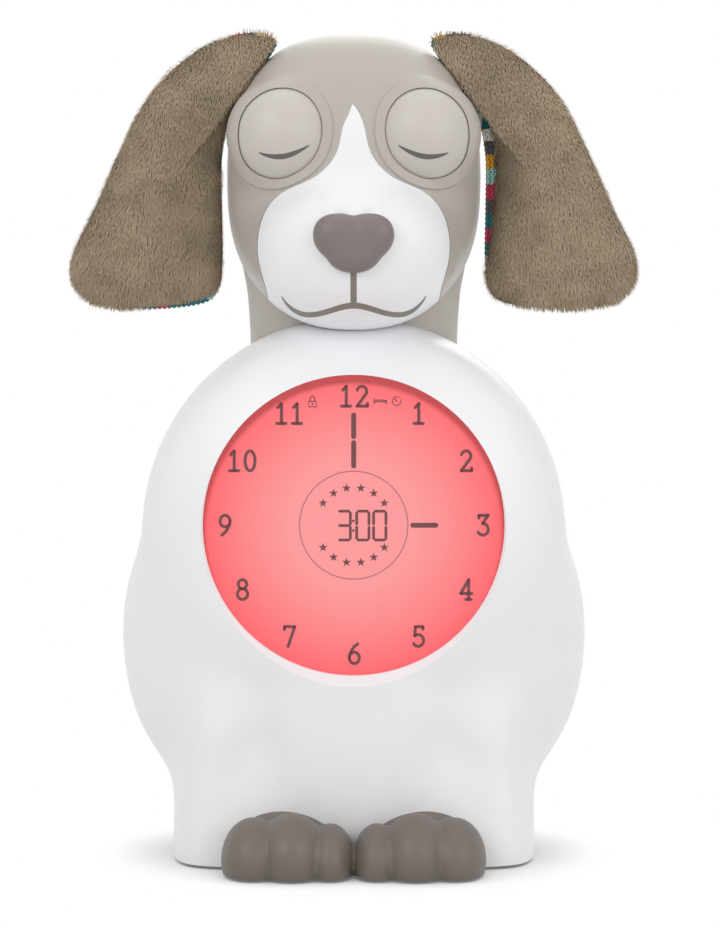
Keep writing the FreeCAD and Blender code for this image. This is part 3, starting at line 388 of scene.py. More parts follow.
def make_piece(name, build, material, body, smooth=True):
    """A mesh piece that rides on a body. A piece that is given no body rides on none."""
    mesh = bpy.data.meshes.new(name)
    sheet = bmesh.new()
    build(sheet)
    sheet.to_mesh(mesh)
    sheet.free()
    piece = bpy.data.objects.new(name, mesh)
    bpy.context.scene.collection.objects.link(piece)
    mesh.materials.append(material)
    for polygon in mesh.polygons:
        polygon.use_smooth = smooth
    if body:
        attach(piece, body)
    return piece


def loft(sheet, rings):
    """Skin over rings of as many points each, closed at both ends."""
    for low, high in zip(rings, rings[1:]):
        for i in range(len(low)):
            j = (i + 1) % len(low)
            sheet.faces.new((low[i], low[j], high[j], high[i]))
    sheet.faces.new(rings[0][::-1])
    sheet.faces.new(rings[-1])


def curve_span(p0, p1, p2, p3, steps):
    """Points of a Catmull-Rom curve from p1 until just before p2."""
    span = []
    for step in range(steps):
        t = step / steps
        span.append(0.5 * ((2 * p1) + (p2 - p0) * t + (2 * p0 - 5 * p1 + 4 * p2 - p3) * t ** 2
                           + (3 * p1 - p0 - 3 * p2 + p3) * t ** 3))
    return span


def smooth_path(points, steps=6):
    """Open curve through the points, its ends included."""
    if len(points) < 3:
        return [Vector(p) for p in points]
    padded = [points[0]] + list(points) + [points[-1]]
    path = []
    for i in range(1, len(padded) - 2):
        path += curve_span(*[Vector(p) for p in padded[i - 1:i + 3]], steps)
    path.append(Vector(points[-1]))
    return path


def lay_flat(sheet, outline, place=DIAL_CENTRE):
    """A thin plate with the given outline on the dial, its face toward the viewer."""
    front = [sheet.verts.new((place[0] + p[0], PRINT_Y - PRINT_THICKNESS, place[1] + p[1]))
             for p in outline]
    back = [sheet.verts.new((place[0] + p[0], PRINT_Y, place[1] + p[1])) for p in outline]
    sheet.faces.new(front)
    count = len(outline)
    for i in range(count):
        j = (i + 1) % count
        sheet.faces.new((front[j], front[i], back[i], back[j]))


END_STEPS = 6


def draw_stroke(sheet, path, width, closed=False):
    """A stroke of even width with round ends, drawn from the middle of the dial."""
    half = width / 2
    points = [Vector((p[0], p[1])) for p in path]
    left, right = [], []
    count = len(points)
    for i, point in enumerate(points):
        ahead = points[(i + 1) % count] if closed else points[min(i + 1, count - 1)]
        behind = points[i - 1] if closed or i else points[0]
        run = (ahead - behind).normalized()
        side = Vector((-run.y, run.x)) * half
        left.append(point + side)
        right.append(point - side)
    if closed:
        for i in range(count):
            j = (i + 1) % count
            lay_flat(sheet, [left[i], right[i], right[j], left[j]])
        return
    start = (points[1] - points[0]).normalized()
    end = (points[-1] - points[-2]).normalized()
    outline = list(left)
    for tip, run, quarter in ((points[-1], end, math.pi / 2), (points[0], start, -math.pi / 2)):
        base = math.atan2(run.y, run.x)
        for step in range(1, END_STEPS):
            turn = quarter - math.pi * step / END_STEPS
            outline.append(tip + half * Vector((math.cos(base + turn), math.sin(base + turn))))
        if quarter > 0:
            outline += reversed(right)
    lay_flat(sheet, outline)


# Numbers with slab ends, drawn in a box one unit high.

def arc(centre_x, centre_y, radius_x, radius_y, start, end, steps=14):
    points = []
    for i in range(steps + 1):
        turn = math.radians(start + (end - start) * i / steps)
        points.append((centre_x + radius_x * math.cos(turn), centre_y + radius_y * math.sin(turn)))
    return points


NUMERALS = {
    "0": [arc(0.31, 0.5, 0.25, 0.5, 0, 360, 28)],
    "1": [[(0.12, 0.80), (0.30, 1.0), (0.30, 0.0)], [(0.06, 0.0), (0.52, 0.0)]],
    "2": [arc(0.30, 0.74, 0.24, 0.26, 165, -25) + [(0.06, 0.0)],
          [(0.06, 0.0), (0.58, 0.0), (0.58, 0.13)]],
    "3": [[(0.08, 0.86), (0.08, 1.0), (0.54, 1.0), (0.27, 0.60)],
          [(0.27, 0.60)] + arc(0.28, 0.29, 0.27, 0.29, 75, -150)],
    "4": [[(0.44, 0.0), (0.44, 1.0), (0.04, 0.30), (0.60, 0.30)], [(0.30, 0.0), (0.56, 0.0)]],
    "5": [[(0.52, 0.88), (0.52, 1.0), (0.14, 1.0), (0.11, 0.54)],
          [(0.11, 0.54)] + arc(0.28, 0.30, 0.27, 0.30, 115, -150)],
    "6": [smooth_path([(0.48, 1.0), (0.26, 0.80), (0.08, 0.45), (0.06, 0.28)])
          + arc(0.31, 0.29, 0.25, 0.29, 180, 500, 22)],
    "7": [[(0.04, 0.86), (0.04, 1.0), (0.56, 1.0), (0.22, 0.0)]],
    "8": [arc(0.31, 0.27, 0.26, 0.27, 0, 360, 24), arc(0.31, 0.77, 0.21, 0.23, 0, 360, 24)],
    "9": [smooth_path([(0.14, 0.0), (0.36, 0.20), (0.54, 0.55), (0.56, 0.72)])
          + arc(0.31, 0.71, 0.25, 0.29, 0, 320, 22)],
}
# Shares of the height of a number.
NUMERAL_WIDTH = 0.62
NUMERAL_SPACE = 0.06
STROKE_SHARE = 0.135
SHARP_CORNER = 0.6


def draw_number(sheet, text, centre, height):
    """The digits of a number, centred on a point that is given from the middle of the dial."""
    stroke = STROKE_SHARE * height
    advance = (NUMERAL_WIDTH + NUMERAL_SPACE) * height
    total = advance * len(text) - NUMERAL_SPACE * height
    inner = height - stroke
    for i, digit in enumerate(text):
        left = centre[0] - total / 2 + advance * i + stroke / 2
        low = centre[1] - inner / 2
        for path in NUMERALS[digit]:
            points = [(left + x * inner, low + y * inner) for x, y in path]
            closed = math.dist(points[0], points[-1]) < 1e-6
            if closed:
                draw_stroke(sheet, points[:-1], stroke, closed=True)
            else:
                draw_corners(sheet, points, stroke)


def draw_corners(sheet, points, stroke):
    """Straight runs are drawn one by one so that sharp corners stay full."""
    run = [points[0]]
    for i in range(1, len(points)):
        run.append(points[i])
        if i == len(points) - 1:
            break
        before = Vector(points[i]) - Vector(points[i - 1])
        after = Vector(points[i + 1]) - Vector(points[i])
        if before.angle(after) > SHARP_CORNER:
            draw_stroke(sheet, run, stroke)
            run = [points[i]]
    draw_stroke(sheet, run, stroke)


def build_numerals(sheet):
    """The twelve hours, upright on one ring."""
    ring = sizes().numeral_ring
    for hour in range(1, 13):
        turn = math.radians(90 - 30 * hour)
        centre = (ring * math.cos(turn), ring * math.sin(turn))
        draw_number(sheet, str(hour), centre, sizes().numeral_height)


def build_hands(sheet):
    """Bars that stand for the hands: two toward twelve and one toward three."""
    bar = 1.5 * MM
    for low, high in ((17.9, 24.9), (26.7, 33.2)):
        draw_stroke(sheet, [(0, low * MM), (0, high * MM)], bar)
    draw_stroke(sheet, [(17.8 * MM, 0), (24.7 * MM, 0)], bar)


def build_inner_ring(sheet):
    """A dotted ring with an arc of six stars above and below the digits."""
    radius = 16.3 * MM
    dots = 120
    dot = 0.26 * MM
    for i in range(dots):
        turn = 2 * math.pi * i / dots
        place = (DIAL_X + radius * math.cos(turn), DIAL_Z + radius * math.sin(turn))
        lay_flat(sheet, arc(0, 0, dot, dot, 0, 300, 5), place)
    star_ring = 11.4 * MM
    tip, notch = 1.42, 0.58
    for side in (1, -1):
        for angle in (36, 58, 79, 101, 122, 144):
            turn = math.radians(angle * side)
            centre = (DIAL_X + star_ring * math.cos(turn), DIAL_Z + star_ring * math.sin(turn))
            star = []
            for point in range(10):
                reach = (tip if point % 2 == 0 else notch) * MM
                lean = math.radians(90 + 36 * point)
                star.append((reach * math.cos(lean), reach * math.sin(lean)))
            lay_flat(sheet, star, centre)


SEGMENTS = {"3": "abcdg", "0": "abcdef"}


def build_clock_digits(sheet):
    """The time in seven-segment digits."""
    height, width, bar = 8.7 * MM, 3.7 * MM, 0.85 * MM
    gap = 0.5 * MM
    lines = {
        "a": ((gap, height), (width - gap, height)), "d": ((gap, 0), (width - gap, 0)),
        "g": ((gap, height / 2), (width - gap, height / 2)),
        "b": ((width, height / 2 + gap), (width, height - gap)),
        "c": ((width, gap), (width, height / 2 - gap)),
        "f": ((0, height / 2 + gap), (0, height - gap)), "e": ((0, gap), (0, height / 2 - gap))}
    low = -4.45 * MM
    for digit, left in (("3", -4.7 * MM), ("0", 0.9 * MM), ("0", 6.0 * MM)):
        for segment in SEGMENTS[digit]:
            path = [(left + x, low + y) for x, y in lines[segment]]
            draw_stroke(sheet, path, bar)
    dot = 0.42 * MM
    for height_at in (-1.6 * MM, 1.3 * MM):
        lay_flat(sheet, arc(-0.1 * MM, height_at, dot, dot, 0, 320, 8))


def build_icons(sheet):
    """Small signs beside the twelve: a lock, a bed and a timer."""
    thin = 0.34 * MM
    lock = (-12.4 * MM, 37.0 * MM)
    case_path = [(-1.15, -1.3), (1.15, -1.3), (1.15, 0.35), (-1.15, 0.35)]
    case = [(lock[0] + x * MM, lock[1] + y * MM) for x, y in case_path]
    draw_stroke(sheet, case, thin, closed=True)
    shackle = [(-0.7 * MM, 0.4 * MM)] + arc(0, 1.0 * MM, 0.7 * MM, 0.85 * MM, 180, 0, 8)
    shackle.append((0.7 * MM, 0.4 * MM))
    draw_stroke(sheet, [(lock[0] + x, lock[1] + y) for x, y in shackle], thin)
    lay_flat(sheet, arc(lock[0], lock[1] - 0.4 * MM, 0.3 * MM, 0.3 * MM, 0, 300, 6))
    bed = (8.0 * MM, 37.4 * MM)
    for path in ([(-1.8, 0.7), (-1.8, -0.7)], [(-1.8, -0.2), (1.8, -0.2)],
                 [(1.8, 0.2), (1.8, -0.7)], [(-1.3, 0.25), (-0.3, 0.35), (1.7, 0.15)]):
        draw_stroke(sheet, [(bed[0] + x * MM, bed[1] + y * MM) for x, y in path], thin)
    timer = (12.9 * MM, 37.4 * MM)
    ring = [(timer[0] + x, timer[1] + y) for x, y in arc(0, 0, 1.3 * MM, 1.3 * MM, 60, 375, 20)]
    draw_stroke(sheet, ring, thin * 0.8)
    draw_stroke(sheet, [timer, (timer[0] - 0.6 * MM, timer[1] + 0.6 * MM)], thin)


class CLOCK_OT_dial(bpy.types.Operator):
    """Prints the numbers, bars, stars and signs of the lit dial."""
    bl_idname = "clock.dial"
    bl_label = "Dial print"

    def execute(self, context):
        ink = segment_ink("liquid crystal segments")
        pieces = {"dial_numbers": build_numerals, "dial_hands": build_hands,
                  "dial_stars": build_inner_ring, "dial_digits": build_clock_digits,
                  "dial_icons": build_icons}
        for name, build in pieces.items():
            make_piece(name, build, ink, "case", smooth=False)
        return {"FINISHED"}


# Cover, neck and paws.

COVER_BEVEL = 0.3 * MM
COVER_GAP = 0.06 * MM


def build_cover(sheet):
    """Clear disc of the display with a small bevel round its front, just clear of the panel."""
    steps = 96
    radius = LENS_HIGH.x
    profile = ((radius - COVER_BEVEL, LENS_LOW.y), (radius, LENS_LOW.y + COVER_BEVEL),
               (radius, LENS_HIGH.y - COVER_GAP))
    rings = []
    for reach, depth in profile:
        rings.append([sheet.verts.new((DIAL_X + reach * math.cos(2 * math.pi * i / steps), depth,
                                       DIAL_Z + reach * math.sin(2 * math.pi * i / steps)))
                      for i in range(steps)])
    loft(sheet, rings)


# Height, half width, half depth and middle of each ring of the neck, in millimetres.
NECK_RINGS = [
    (134, 32.4, 25.0, 17.0), (150, 32.3, 25.0, 17.0), (160, 32.2, 25.0, 17.0),
    (173, 33.0, 24.8, 17.0), (180, 34.2, 24.3, 16.9), (186, 35.3, 23.8, 16.7),
    (192, 36.3, 23.6, 16.5), (198, 36.9, 23.0, 16.3), (203, 36.6, 22.0, 16.0)]


def build_neck(sheet):
    """Neck that widens upward until it meets the cheeks of the skull."""
    steps = 64
    path = smooth_path([Vector(ring) for ring in NECK_RINGS], 4)
    rings = []
    for level, half_width, half_depth, middle in path:
        ring = []
        for i in range(steps):
            turn = 2 * math.pi * i / steps
            ring.append(sheet.verts.new((half_width * math.cos(turn) * MM,
                                         (middle + half_depth * math.sin(turn)) * MM,
                                         level * MM)))
        rings.append(ring)
    loft(sheet, rings)


# Centre and radii of the right paw's back and of its three toes, in millimetres.
PAW_FORMS = [
    ((20.5, -25.0, 4.0), (18.6, 16.0, 14.6)), ((30.3, -36.5, 5.0), (9.6, 14.0, 12.6)),
    ((18.6, -38.2, 6.0), (10.8, 14.4, 13.2)), ((7.0, -37.5, 4.6), (7.4, 13.2, 11.4))]
PAW_GRAIN = 0.7 * MM
PAW_SOFTENING = 6


def build_paws(sheet):
    """Two paws of three toes each, as plump forms that run into one another."""
    for side in (-1, 1):
        for centre, radii in PAW_FORMS:
            made = bmesh.ops.create_uvsphere(sheet, u_segments=32, v_segments=20, radius=1.0)
            for vert in made["verts"]:
                vert.co = Vector((side * centre[0] + vert.co.x * radii[0],
                                  centre[1] + vert.co.y * radii[1],
                                  centre[2] + vert.co.z * radii[2])) * MM


def melt_together(piece, grain, rounds, floor):
    """Joins the overlapping forms of a piece into one soft skin, cut flat underneath."""
    joined = piece.modifiers.new("join", "REMESH")
    joined.mode = "VOXEL"
    joined.voxel_size = grain
    soft = piece.modifiers.new("soften", "SMOOTH")
    soft.factor = 0.5
    soft.iterations = rounds
    graph = bpy.context.evaluated_depsgraph_get()
    skin = bpy.data.meshes.new_from_object(piece.evaluated_get(graph))
    sheet = bmesh.new()
    sheet.from_mesh(skin)
    cut = bmesh.ops.bisect_plane(sheet, geom=sheet.verts[:] + sheet.edges[:] + sheet.faces[:],
                                 plane_co=(0, 0, floor), plane_no=(0, 0, -1), clear_outer=True)
    rim = [edge for edge in cut["geom_cut"] if isinstance(edge, bmesh.types.BMEdge)]
    bmesh.ops.holes_fill(sheet, edges=rim, sides=0)
    for face in sheet.faces:
        face.smooth = abs(face.normal.z + 1) > 0.01
    piece.modifiers.clear()
    sheet.to_mesh(piece.data)
    sheet.free()
    bpy.data.meshes.remove(skin)


class CLOCK_OT_forms(bpy.types.Operator):
    """Makes the clear cover, the neck and the paws in their full form."""
    bl_idname = "clock.forms"
    bl_label = "Cover, neck and paws"

    def execute(self, context):
        cover = make_piece("display_cover", build_cover, clear_lens("clear cover"), "case",
                           smooth=False)
        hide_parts("display_lens")
        neck = make_piece("neck_form", build_neck,
                          moulded_plastic("warm grey neck", tuple(colours().head), 0.4),
                          "case")
        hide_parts("neck_tube")
        paws = make_piece("paws_form", build_paws,
                          moulded_plastic("taupe paw", tuple(colours().paws), 0.44),
                          "case")
        melt_together(paws, PAW_GRAIN, PAW_SOFTENING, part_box("front_paws")[0].z)
        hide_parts("front_paws")
        return {"FINISHED"}


class CLOCK_OT_finishes(bpy.types.Operator):
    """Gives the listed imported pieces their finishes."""
    bl_idname = "clock.finishes"
    bl_label = "Finishes"

    def execute(self, context):
        tint = colours()
        body, head = tuple(tint.body), tuple(tint.head)
        paws = tuple(tint.paws)
        finishes = [
            (moulded_plastic("white satin shell", body, 0.36),
             ["body_front_shell", "body_rear_shell", "base_plate", "battery_door"]),
            (moulded_plastic("white face", body, 0.42), ["face_mask"]),
            (moulded_plastic("key panel", shade(body, 0.93), 0.5), ["control_panel"]),
            (moulded_plastic("warm grey skull", head, 0.4),
             ["head_front_shell", "head_rear_shell", "neck_tube"]),
            (moulded_plastic("eyelid", tuple(tint.lids), 0.38),
             ["eyelid_left", "eyelid_right"]),
            (moulded_plastic("taupe paw", paws, 0.44), ["front_paws"]),
            (moulded_plastic("taupe nose", tuple(tint.nose), 0.4), ["nose"]),
            (moulded_plastic("lash inlay", linear(98, 97, 92), 0.5), ["eye_lashes"]),
            (moulded_plastic("mouth inlay", linear(132, 126, 116), 0.5), ["mouth_line"]),
            (moulded_plastic("eye white", linear(240, 240, 236), 0.2),
             ["eyeball_left", "eyeball_right"]),
            (moulded_plastic("iris", linear(62, 44, 32), 0.15), ["eye_irises"]),
            (moulded_plastic("keys", paws, 0.5),
             [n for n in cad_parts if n.startswith("key_")
              and n not in ("key_board", "key_switches")]),
            (moulded_plastic("natural plastic", linear(222, 220, 210), 0.45),
             ["display_frame", "drive_frame", "eye_gear", "idler_gear", "motor_pinion",
              "light_diffuser"]),
            (moulded_plastic("black plastic", linear(38, 38, 40), 0.45),
             ["board_parts", "key_switches", "power_socket", "board_header",
              "speaker_cone"]),
            (metal("steel", linear(190, 190, 192), 0.32),
             [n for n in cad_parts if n.endswith("_screws") or n.endswith("_screw")]
             + ["eye_axle", "idler_pin", "battery_contacts", "drive_motor",
                "speaker_basket"]),
            (circuit_board("green board", linear(34, 96, 56)),
             ["led_board", "main_board", "key_board"]),
            (moulded_plastic("amber film", linear(196, 138, 62), 0.3), ["display_ribbon"]),
            (moulded_plastic("yellow lamp", linear(240, 226, 150), 0.25),
             ["backlight_leds"]),
            (moulded_plastic("cell sleeve", linear(58, 64, 72), 0.25), ["battery_cells"]),
            (rubber("foot rubber", linear(52, 50, 48)), ["rubber_feet"]),
            (clear_lens("clear cover"), ["display_lens"]),
            (lit_panel("lit panel"), ["lcd_panel"]),
        ]
        for material, names in finishes:
            for name in names:
                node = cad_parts[name]
                for slot in node.material_slots:
                    slot.material = material
                if not node.material_slots:
                    node.data.materials.append(material)
        return {"FINISHED"}


# Ears.

EAR_OUTLINE = [
    (23.5, 251.0), (30.2, 253.6), (39.4, 252.5), (50.1, 247.0), (62.5, 235.0), (71.7, 218.0),
    (79.5, 200.5), (86.0, 187.3), (87.2, 179.6), (84.2, 173.8), (78.1, 170.6), (62.7, 169.2),
    (47.0, 170.8), (41.5, 175.0), (40.2, 184.2), (40.4, 202.6), (40.2, 217.0), (37.3, 228.7),
    (28.6, 242.0)]
EAR_MIDDLE = Vector((58.0, 205.0))
CLUMP_SEED = 5
CLUMP_SCALE = 120
FIBRE_HALF_WIDTH = 0.12 * MM


def closed_path(points, steps):
    """Closed curve through the points."""
    count = len(points)
    path = []
    for i in range(count):
        path += curve_span(*[Vector(points[(i + k) % count]) for k in (-1, 0, 1, 2)], steps)
    return path


def ear_surface(spot, share, depth, side, seed):
    """Point on the plush face. share is 1 at the seam and 0 at the middle of the ear."""
    rise = (1 - share ** 2.6) ** 0.5
    place = Vector((spot.x, spot.y)) * MM
    folds = noise.noise(Vector((spot.x * 0.055 + seed, 0, spot.y * 0.022)))
    dents = noise.noise(Vector((spot.x * 0.13, seed, spot.y * 0.08)))
    swell = 1 + 0.26 * folds + 0.07 * dents
    return Vector((side * place.x, SEAM_Y - depth * rise * swell, place.y))


def ear_grid(side, seed, rings=26, steps=6):
    """Rings of points on the plush face, from the seam to the middle of the ear."""
    outline = inset_outline(closed_path(EAR_OUTLINE, steps), side, 0.3)
    depth = (SEAM_Y - EAR_LOW.y) * 0.8
    grid = []
    for ring in range(rings + 1):
        share = math.sin(math.pi / 2 * (1 - ring / rings))
        row = []
        for point in outline:
            spot = EAR_MIDDLE + (point - EAR_MIDDLE) * share
            row.append(ear_surface(spot, share, depth, side, seed))
        grid.append(row)
    return grid


def lining_show(place, side):
    """How far the lining rolls round the edge to the front, in millimetres."""
    inner = max(0.0, 1 - (abs(place - 0.845) / 0.115) ** 3)
    top = max(0.0, 1 - abs(place - 0.985) / 0.03)
    low = max(0.0, 1 - (abs(place - 0.62) / 0.06) ** 2)
    if side > 0:
        return 3.1 * inner + 1.8 * top + 0.3 * low
    return 0.3 * inner + 2.4 * top + 1.5 * low


def inset_outline(path, side, extra=0.0):
    """The outline drawn in by as much of the lining as shows in front of the seam."""
    count = len(path)
    drawn_in = []
    for i, point in enumerate(path):
        run = (path[(i + 1) % count] - path[i - 1]).normalized()
        inward = Vector((-run.y, run.x))
        if inward.dot(EAR_MIDDLE - point) < 0:
            inward = -inward
        drawn_in.append(point + inward * (lining_show(i / count, side) + extra))
    return drawn_in


def build_grid(sheet, grid, flip):
    """Skin over the rings of a grid, whose last ring is a single point."""
    rows = [[sheet.verts.new(point) for point in row] for row in grid[:-1]]
    count = len(rows[0])
    tip = sheet.verts.new(grid[-1][0])
    for low, high in zip(rows, rows[1:]):
        for i in range(count):
            j = (i + 1) % count
            face = (low[i], low[j], high[j], high[i])
            sheet.faces.new(face[::-1] if flip else face)
    for i in range(count):
        face = (rows[-1][i], rows[-1][(i + 1) % count], tip)
        sheet.faces.new(face[::-1] if flip else face)


def grow_pile(name, source, side, seed, material):
    """Plush fibres: thin tapered blades that lean down and outward in loose clumps."""
    chance = random.Random(seed)
    mesh = source.data
    faces = [(f.area, f.center.copy(), f.normal.copy(), [mesh.vertices[v].co.copy()
             for v in f.vertices]) for f in mesh.polygons]
    total = sum(f[0] for f in faces)
    length = sizes().pile_length
    verts, quads = [], []
    for area, _, normal, corners in faces:
        wanted = area / total * sizes().pile_count
        amount = int(wanted) + (1 if chance.random() < wanted - int(wanted) else 0)
        for _ in range(amount):
            u, v = chance.random(), chance.random()
            if len(corners) == 4:
                low = corners[0].lerp(corners[1], u)
                high = corners[3].lerp(corners[2], u)
                root = low.lerp(high, v)
            else:
                if u + v > 1:
                    u, v = 1 - u, 1 - v
                root = corners[0] + (corners[1] - corners[0]) * u + (corners[2] - corners[0]) * v
            clump = noise.noise_vector(root * CLUMP_SCALE)
            lean = Vector((side * 0.25, 0, -1.0)) + clump * 0.6
            lean -= normal * lean.dot(normal)
            way = (normal * (0.62 + 0.2 * clump.x) + lean * 0.7).normalized()
            size = length * (0.7 + 0.45 * chance.random())
            across = way.cross(normal)
            if across.length < 1e-4:
                across = Vector((1, 0, 0))
            across = across.normalized() * FIBRE_HALF_WIDTH
            middle = root + way * size * 0.55
            end = root + (way + Vector((0, 0, -0.35))).normalized() * size
            first = len(verts)
            verts += [root - across, root + across, middle + across * 0.8,
                      middle - across * 0.8, end]
            quads += [(first, first + 1, first + 2, first + 3), (first + 3, first + 2, first + 4)]
    pile = bpy.data.meshes.new(name)
    pile.from_pydata(verts, [], quads)
    pile.materials.append(material)
    for polygon in pile.polygons:
        polygon.use_smooth = True
    piece = bpy.data.objects.new(name, pile)
    bpy.context.scene.collection.objects.link(piece)
    return piece


def lining_grid(side, outline, rings=14):
    """Back of the lining, with its edge rolled over the seam to the front."""
    depth = (LINING_HIGH.y - SEAM_Y) * 0.9
    grid = []
    front = inset_outline(outline, side, 1.2)
    for share, lift in ((0.0, 0.9), (0.45, 1.1), (0.85, 0.6)):
        grid.append([Vector((side * inner.lerp(outer, share).x * MM, SEAM_Y - lift * MM,
                             inner.lerp(outer, share).y * MM))
                     for inner, outer in zip(front, outline)])
    for ring in range(rings + 1):
        share = math.sin(math.pi / 2 * (1 - ring / rings))
        row = []
        for point in outline:
            spot = EAR_MIDDLE + (point - EAR_MIDDLE) * share * 0.995
            rise = (1 - share ** 3) ** 0.5
            wave = 1 + 0.12 * noise.noise(Vector((spot.x * 0.06, 9, spot.y * 0.04)))
            row.append(Vector((side * spot.x * MM, SEAM_Y + depth * rise * wave, spot.y * MM)))
        grid.append(row)
    return grid


def add_stitches(sheet, path, side):
    """Rows of knitted V stitches along the rolled edge of the lining."""
    width = sizes().stitch_width / MM
    lengths = [(path[(i + 1) % len(path)] - path[i]).length for i in range(len(path))]
    total = sum(lengths)
    count = int(total / width)
    step = 0
    passed = 0.0
    for stitch in range(count):
        wanted = total * stitch / count
        while passed + lengths[step] < wanted:
            passed += lengths[step]
            step += 1
        here = path[step].lerp(path[(step + 1) % len(path)], (wanted - passed) / lengths[step])
        run = (path[(step + 1) % len(path)] - path[step]).normalized()
        inward = Vector((-run.y, run.x))
        if inward.dot(EAR_MIDDLE - here) < 0:
            inward = -inward
        show = lining_show((step + 0.5) / len(path), side)
        for row in range(int(show / (0.85 * width) + 0.6)):
            base = here + inward * (0.25 + row * 0.85) * width
            for lean in (-1, 1):
                start = base + (run * lean * 0.46 + inward * 0.55) * width
                end = base - inward * 0.3 * width
                add_yarn(sheet, start * MM, end * MM, width * 0.24 * MM, side, row)


YARN_SIDES = 6


def add_yarn(sheet, start, end, radius, side, row):
    """One leg of a stitch: a short plump rod that tapers at both ends."""
    rings = []
    axis = end - start
    across = Vector((-axis.y, axis.x)).normalized()
    level = SEAM_Y - (1.1 + 0.25 * row) * MM
    for t, swell in ((0.0, 0.45), (0.3, 1.0), (0.7, 1.0), (1.0, 0.45)):
        spot = start + axis * t
        ring = []
        for k in range(YARN_SIDES):
            turn = 2 * math.pi * k / YARN_SIDES
            flat = spot + across * radius * swell * math.cos(turn)
            ring.append(sheet.verts.new((side * flat.x, level + radius * swell * math.sin(turn),
                                         flat.y)))
        rings.append(ring)
    loft(sheet, rings)


class CLOCK_OT_ears(bpy.types.Operator):
    """Sews the two plush ears with their knitted lining."""
    bl_idname = "clock.ears"
    bl_label = "Plush ears"

    def execute(self, context):
        noise.seed_set(CLUMP_SEED)
        light = tuple(colours().plush)
        backing = plush_fibre("plush backing", shade(light, 0.66), shade(light, 0.84))
        fibre = plush_fibre("plush fibre", shade(light, 0.86), shade(light, 1.16))
        knit = knitted_yarn("multicolour knit")
        for word, side, seed in (("left", -1, 3), ("right", 1, 8)):
            body = "ear_" + word
            outline = closed_path(EAR_OUTLINE, 5)
            face = make_piece(
                f"{body}_face", lambda sheet: build_grid(sheet, ear_grid(side, seed), side > 0),
                backing, None)
            pile = grow_pile(f"{body}_pile", face, side, seed, fibre)
            back = make_piece(
                f"{body}_knit",
                lambda sheet: build_grid(sheet, lining_grid(side, outline), side < 0),
                knit, None)
            fine = closed_path(EAR_OUTLINE, 10)
            edge = make_piece(
                f"{body}_stitches", lambda sheet: add_stitches(sheet, fine, side),
                knit, None)
            for piece in (face, pile, back, edge):
                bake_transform(piece)
            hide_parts(body + "_plush")
            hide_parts(body + "_lining")
        return {"FINISHED"}


# Stage.

def camera_only_white(nodes, links, plain, bright):
    """White for what looks straight or by mirror at it, plain for the light on the object."""
    path = nodes.new("ShaderNodeLightPath")
    seen = nodes.new("ShaderNodeMath")
    seen.operation = "MAXIMUM"
    links.new(path.outputs["Is Camera Ray"], seen.inputs[0])
    links.new(path.outputs["Is Glossy Ray"], seen.inputs[1])
    through = nodes.new("ShaderNodeMath")
    through.operation = "MAXIMUM"
    links.new(seen.outputs["Value"], through.inputs[0])
    links.new(path.outputs["Is Transmission Ray"], through.inputs[1])
    mix = nodes.new("ShaderNodeMixShader")
    links.new(through.outputs["Value"], mix.inputs["Fac"])
    links.new(plain, mix.inputs[1])
    links.new(bright, mix.inputs[2])
    return mix.outputs["Shader"]


FLOOR_HALF_WIDTH = 3.0
STUDIO_LIGHT = 0.55
LAMP_AIM = Vector((0, 0, 0.13))
# Name, place, width in metres and power in watts.
LAMPS = [
    ("key light", (-0.9, -1.1, 1.0), 0.9, 7.6), ("fill light", (1.0, -1.0, 0.7), 1.0, 6.0),
    ("top light", (0.0, 0.1, 1.3), 1.0, 2.6), ("back light", (0.2, 1.2, 0.9), 0.9, 5.0)]
CAMERA_PLACE = (0.0019, -1.1891, 0.2047)
CAMERA_TILT = math.radians(86)
CAMERA_LENS = 150.2


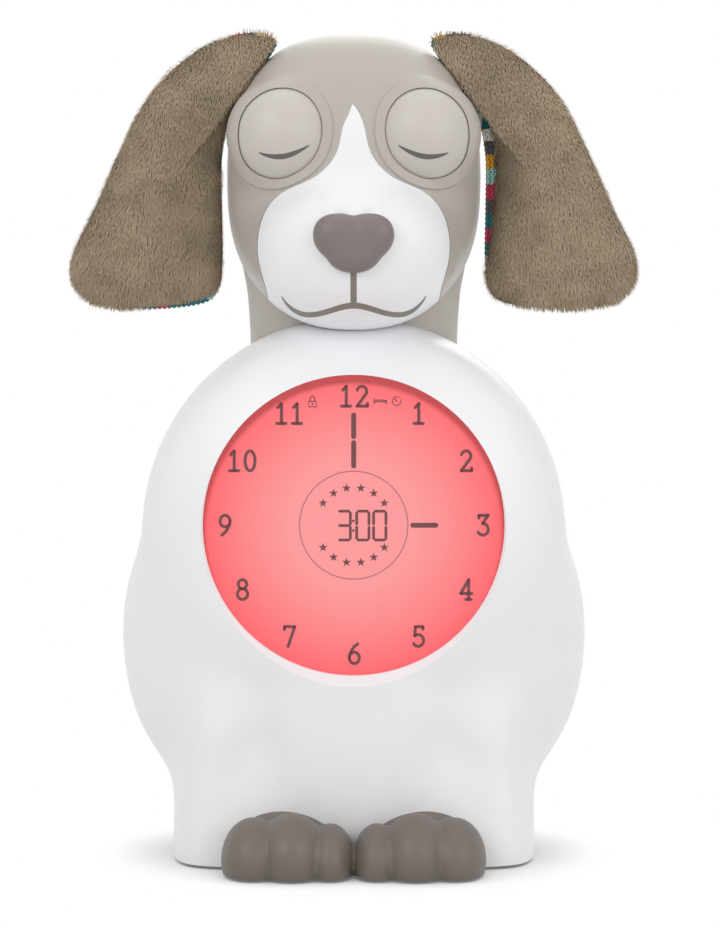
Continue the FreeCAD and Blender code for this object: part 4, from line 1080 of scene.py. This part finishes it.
class CLOCK_OT_stage(bpy.types.Operator):
    """Sets up the pale floor, the soft light and the camera."""
    bl_idname = "clock.stage"
    bl_label = "Stage"

    def execute(self, context):
        scene = context.scene
        scene.view_settings.view_transform = "Standard"
        material = bpy.data.materials.new("pale floor")
        material.use_nodes = True
        nodes, links = material.node_tree.nodes, material.node_tree.links
        nodes.remove(nodes["Principled BSDF"])
        plain = nodes.new("ShaderNodeBsdfDiffuse")
        plain.inputs["Color"].default_value = (0.8, 0.8, 0.8, 1)
        contact = nodes.new("ShaderNodeAmbientOcclusion")
        contact.inputs["Distance"].default_value = 0.03
        contact.samples = 16
        shadow = ramp_node(nodes, links, contact.outputs["AO"],
                           [(0.0, (0.12, 0.12, 0.12)), (0.55, (0.72, 0.72, 0.72)),
                            (0.9, (1, 1, 1))])
        bright = nodes.new("ShaderNodeEmission")
        links.new(shadow.outputs["Color"], bright.inputs["Color"])
        surface = camera_only_white(nodes, links, plain.outputs["BSDF"],
                                    bright.outputs["Emission"])
        links.new(surface, nodes["Material Output"].inputs["Surface"])
        half = FLOOR_HALF_WIDTH
        mesh = bpy.data.meshes.new("floor")
        mesh.from_pydata([(-half, -half, 0), (half, -half, 0), (half, half, 0), (-half, half, 0)],
                         [], [(0, 1, 2, 3)])
        mesh.materials.append(material)
        floor = bpy.data.objects.new("floor", mesh)
        scene.collection.objects.link(floor)

        world = bpy.data.worlds.new("studio")
        scene.world = world
        world.use_nodes = True
        nodes, links = world.node_tree.nodes, world.node_tree.links
        soft = nodes["Background"]
        soft.inputs["Color"].default_value = (1, 1, 1, 1)
        soft.inputs["Strength"].default_value = STUDIO_LIGHT
        white = nodes.new("ShaderNodeBackground")
        white.inputs["Color"].default_value = (1, 1, 1, 1)
        white.inputs["Strength"].default_value = 1.0
        surface = camera_only_white(nodes, links, soft.outputs["Background"],
                                    white.outputs["Background"])
        links.new(surface, nodes["World Output"].inputs["Surface"])

        for name, place, size, power in LAMPS:
            lamp = bpy.data.lights.new(name, "AREA")
            lamp.energy = power
            lamp.size = size
            holder = bpy.data.objects.new(name, lamp)
            holder.location = place
            aim = LAMP_AIM - Vector(place)
            holder.rotation_mode = "QUATERNION"
            holder.rotation_quaternion = aim.to_track_quat("-Z", "Y")
            scene.collection.objects.link(holder)

        camera = bpy.data.cameras.new("camera")
        camera.lens = CAMERA_LENS
        camera.sensor_width = 36.0
        holder = bpy.data.objects.new("camera", camera)
        holder.location = CAMERA_PLACE
        holder.rotation_euler = (CAMERA_TILT, 0, 0)
        camera.clip_start, camera.clip_end = 0.05, 20.0
        scene.collection.objects.link(holder)
        scene.camera = holder
        return {"FINISHED"}


class CLOCK_PT_panel(bpy.types.Panel):
    """Buttons of the pieces, and their sizes and colours."""
    bl_label = "Clock"
    bl_idname = "CLOCK_PT_panel"
    bl_space_type = "VIEW_3D"
    bl_region_type = "UI"
    bl_category = "Clock"

    def draw(self, context):
        for operator in OPERATORS:
            self.layout.operator(operator.bl_idname)
        for group in (context.scene.clock_sizes, context.scene.clock_colours):
            for name in group.__annotations__:
                self.layout.prop(group, name)


OPERATORS = (CLOCK_OT_finishes, CLOCK_OT_forms, CLOCK_OT_dial, CLOCK_OT_ears, CLOCK_OT_stage)
CLASSES = (ClockSizes, ClockColours, *OPERATORS, CLOCK_PT_panel)


def register():
    for item in CLASSES:
        bpy.utils.register_class(item)
    bpy.types.Scene.clock_sizes = bpy.props.PointerProperty(type=ClockSizes)
    bpy.types.Scene.clock_colours = bpy.props.PointerProperty(type=ClockColours)


def unregister():
    del bpy.types.Scene.clock_sizes
    del bpy.types.Scene.clock_colours
    for item in reversed(CLASSES):
        bpy.utils.unregister_class(item)


def corners(bounds):
    """The two corners of a box as plain lists."""
    return [[float(value) for value in corner] for corner in bounds]


def main():
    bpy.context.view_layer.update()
    register()
    bpy.ops.clock.finishes()
    bpy.ops.clock.forms()
    bpy.ops.clock.dial()
    bpy.ops.clock.ears()
    bpy.ops.clock.stage()


if __name__ == "__main__":
    main()
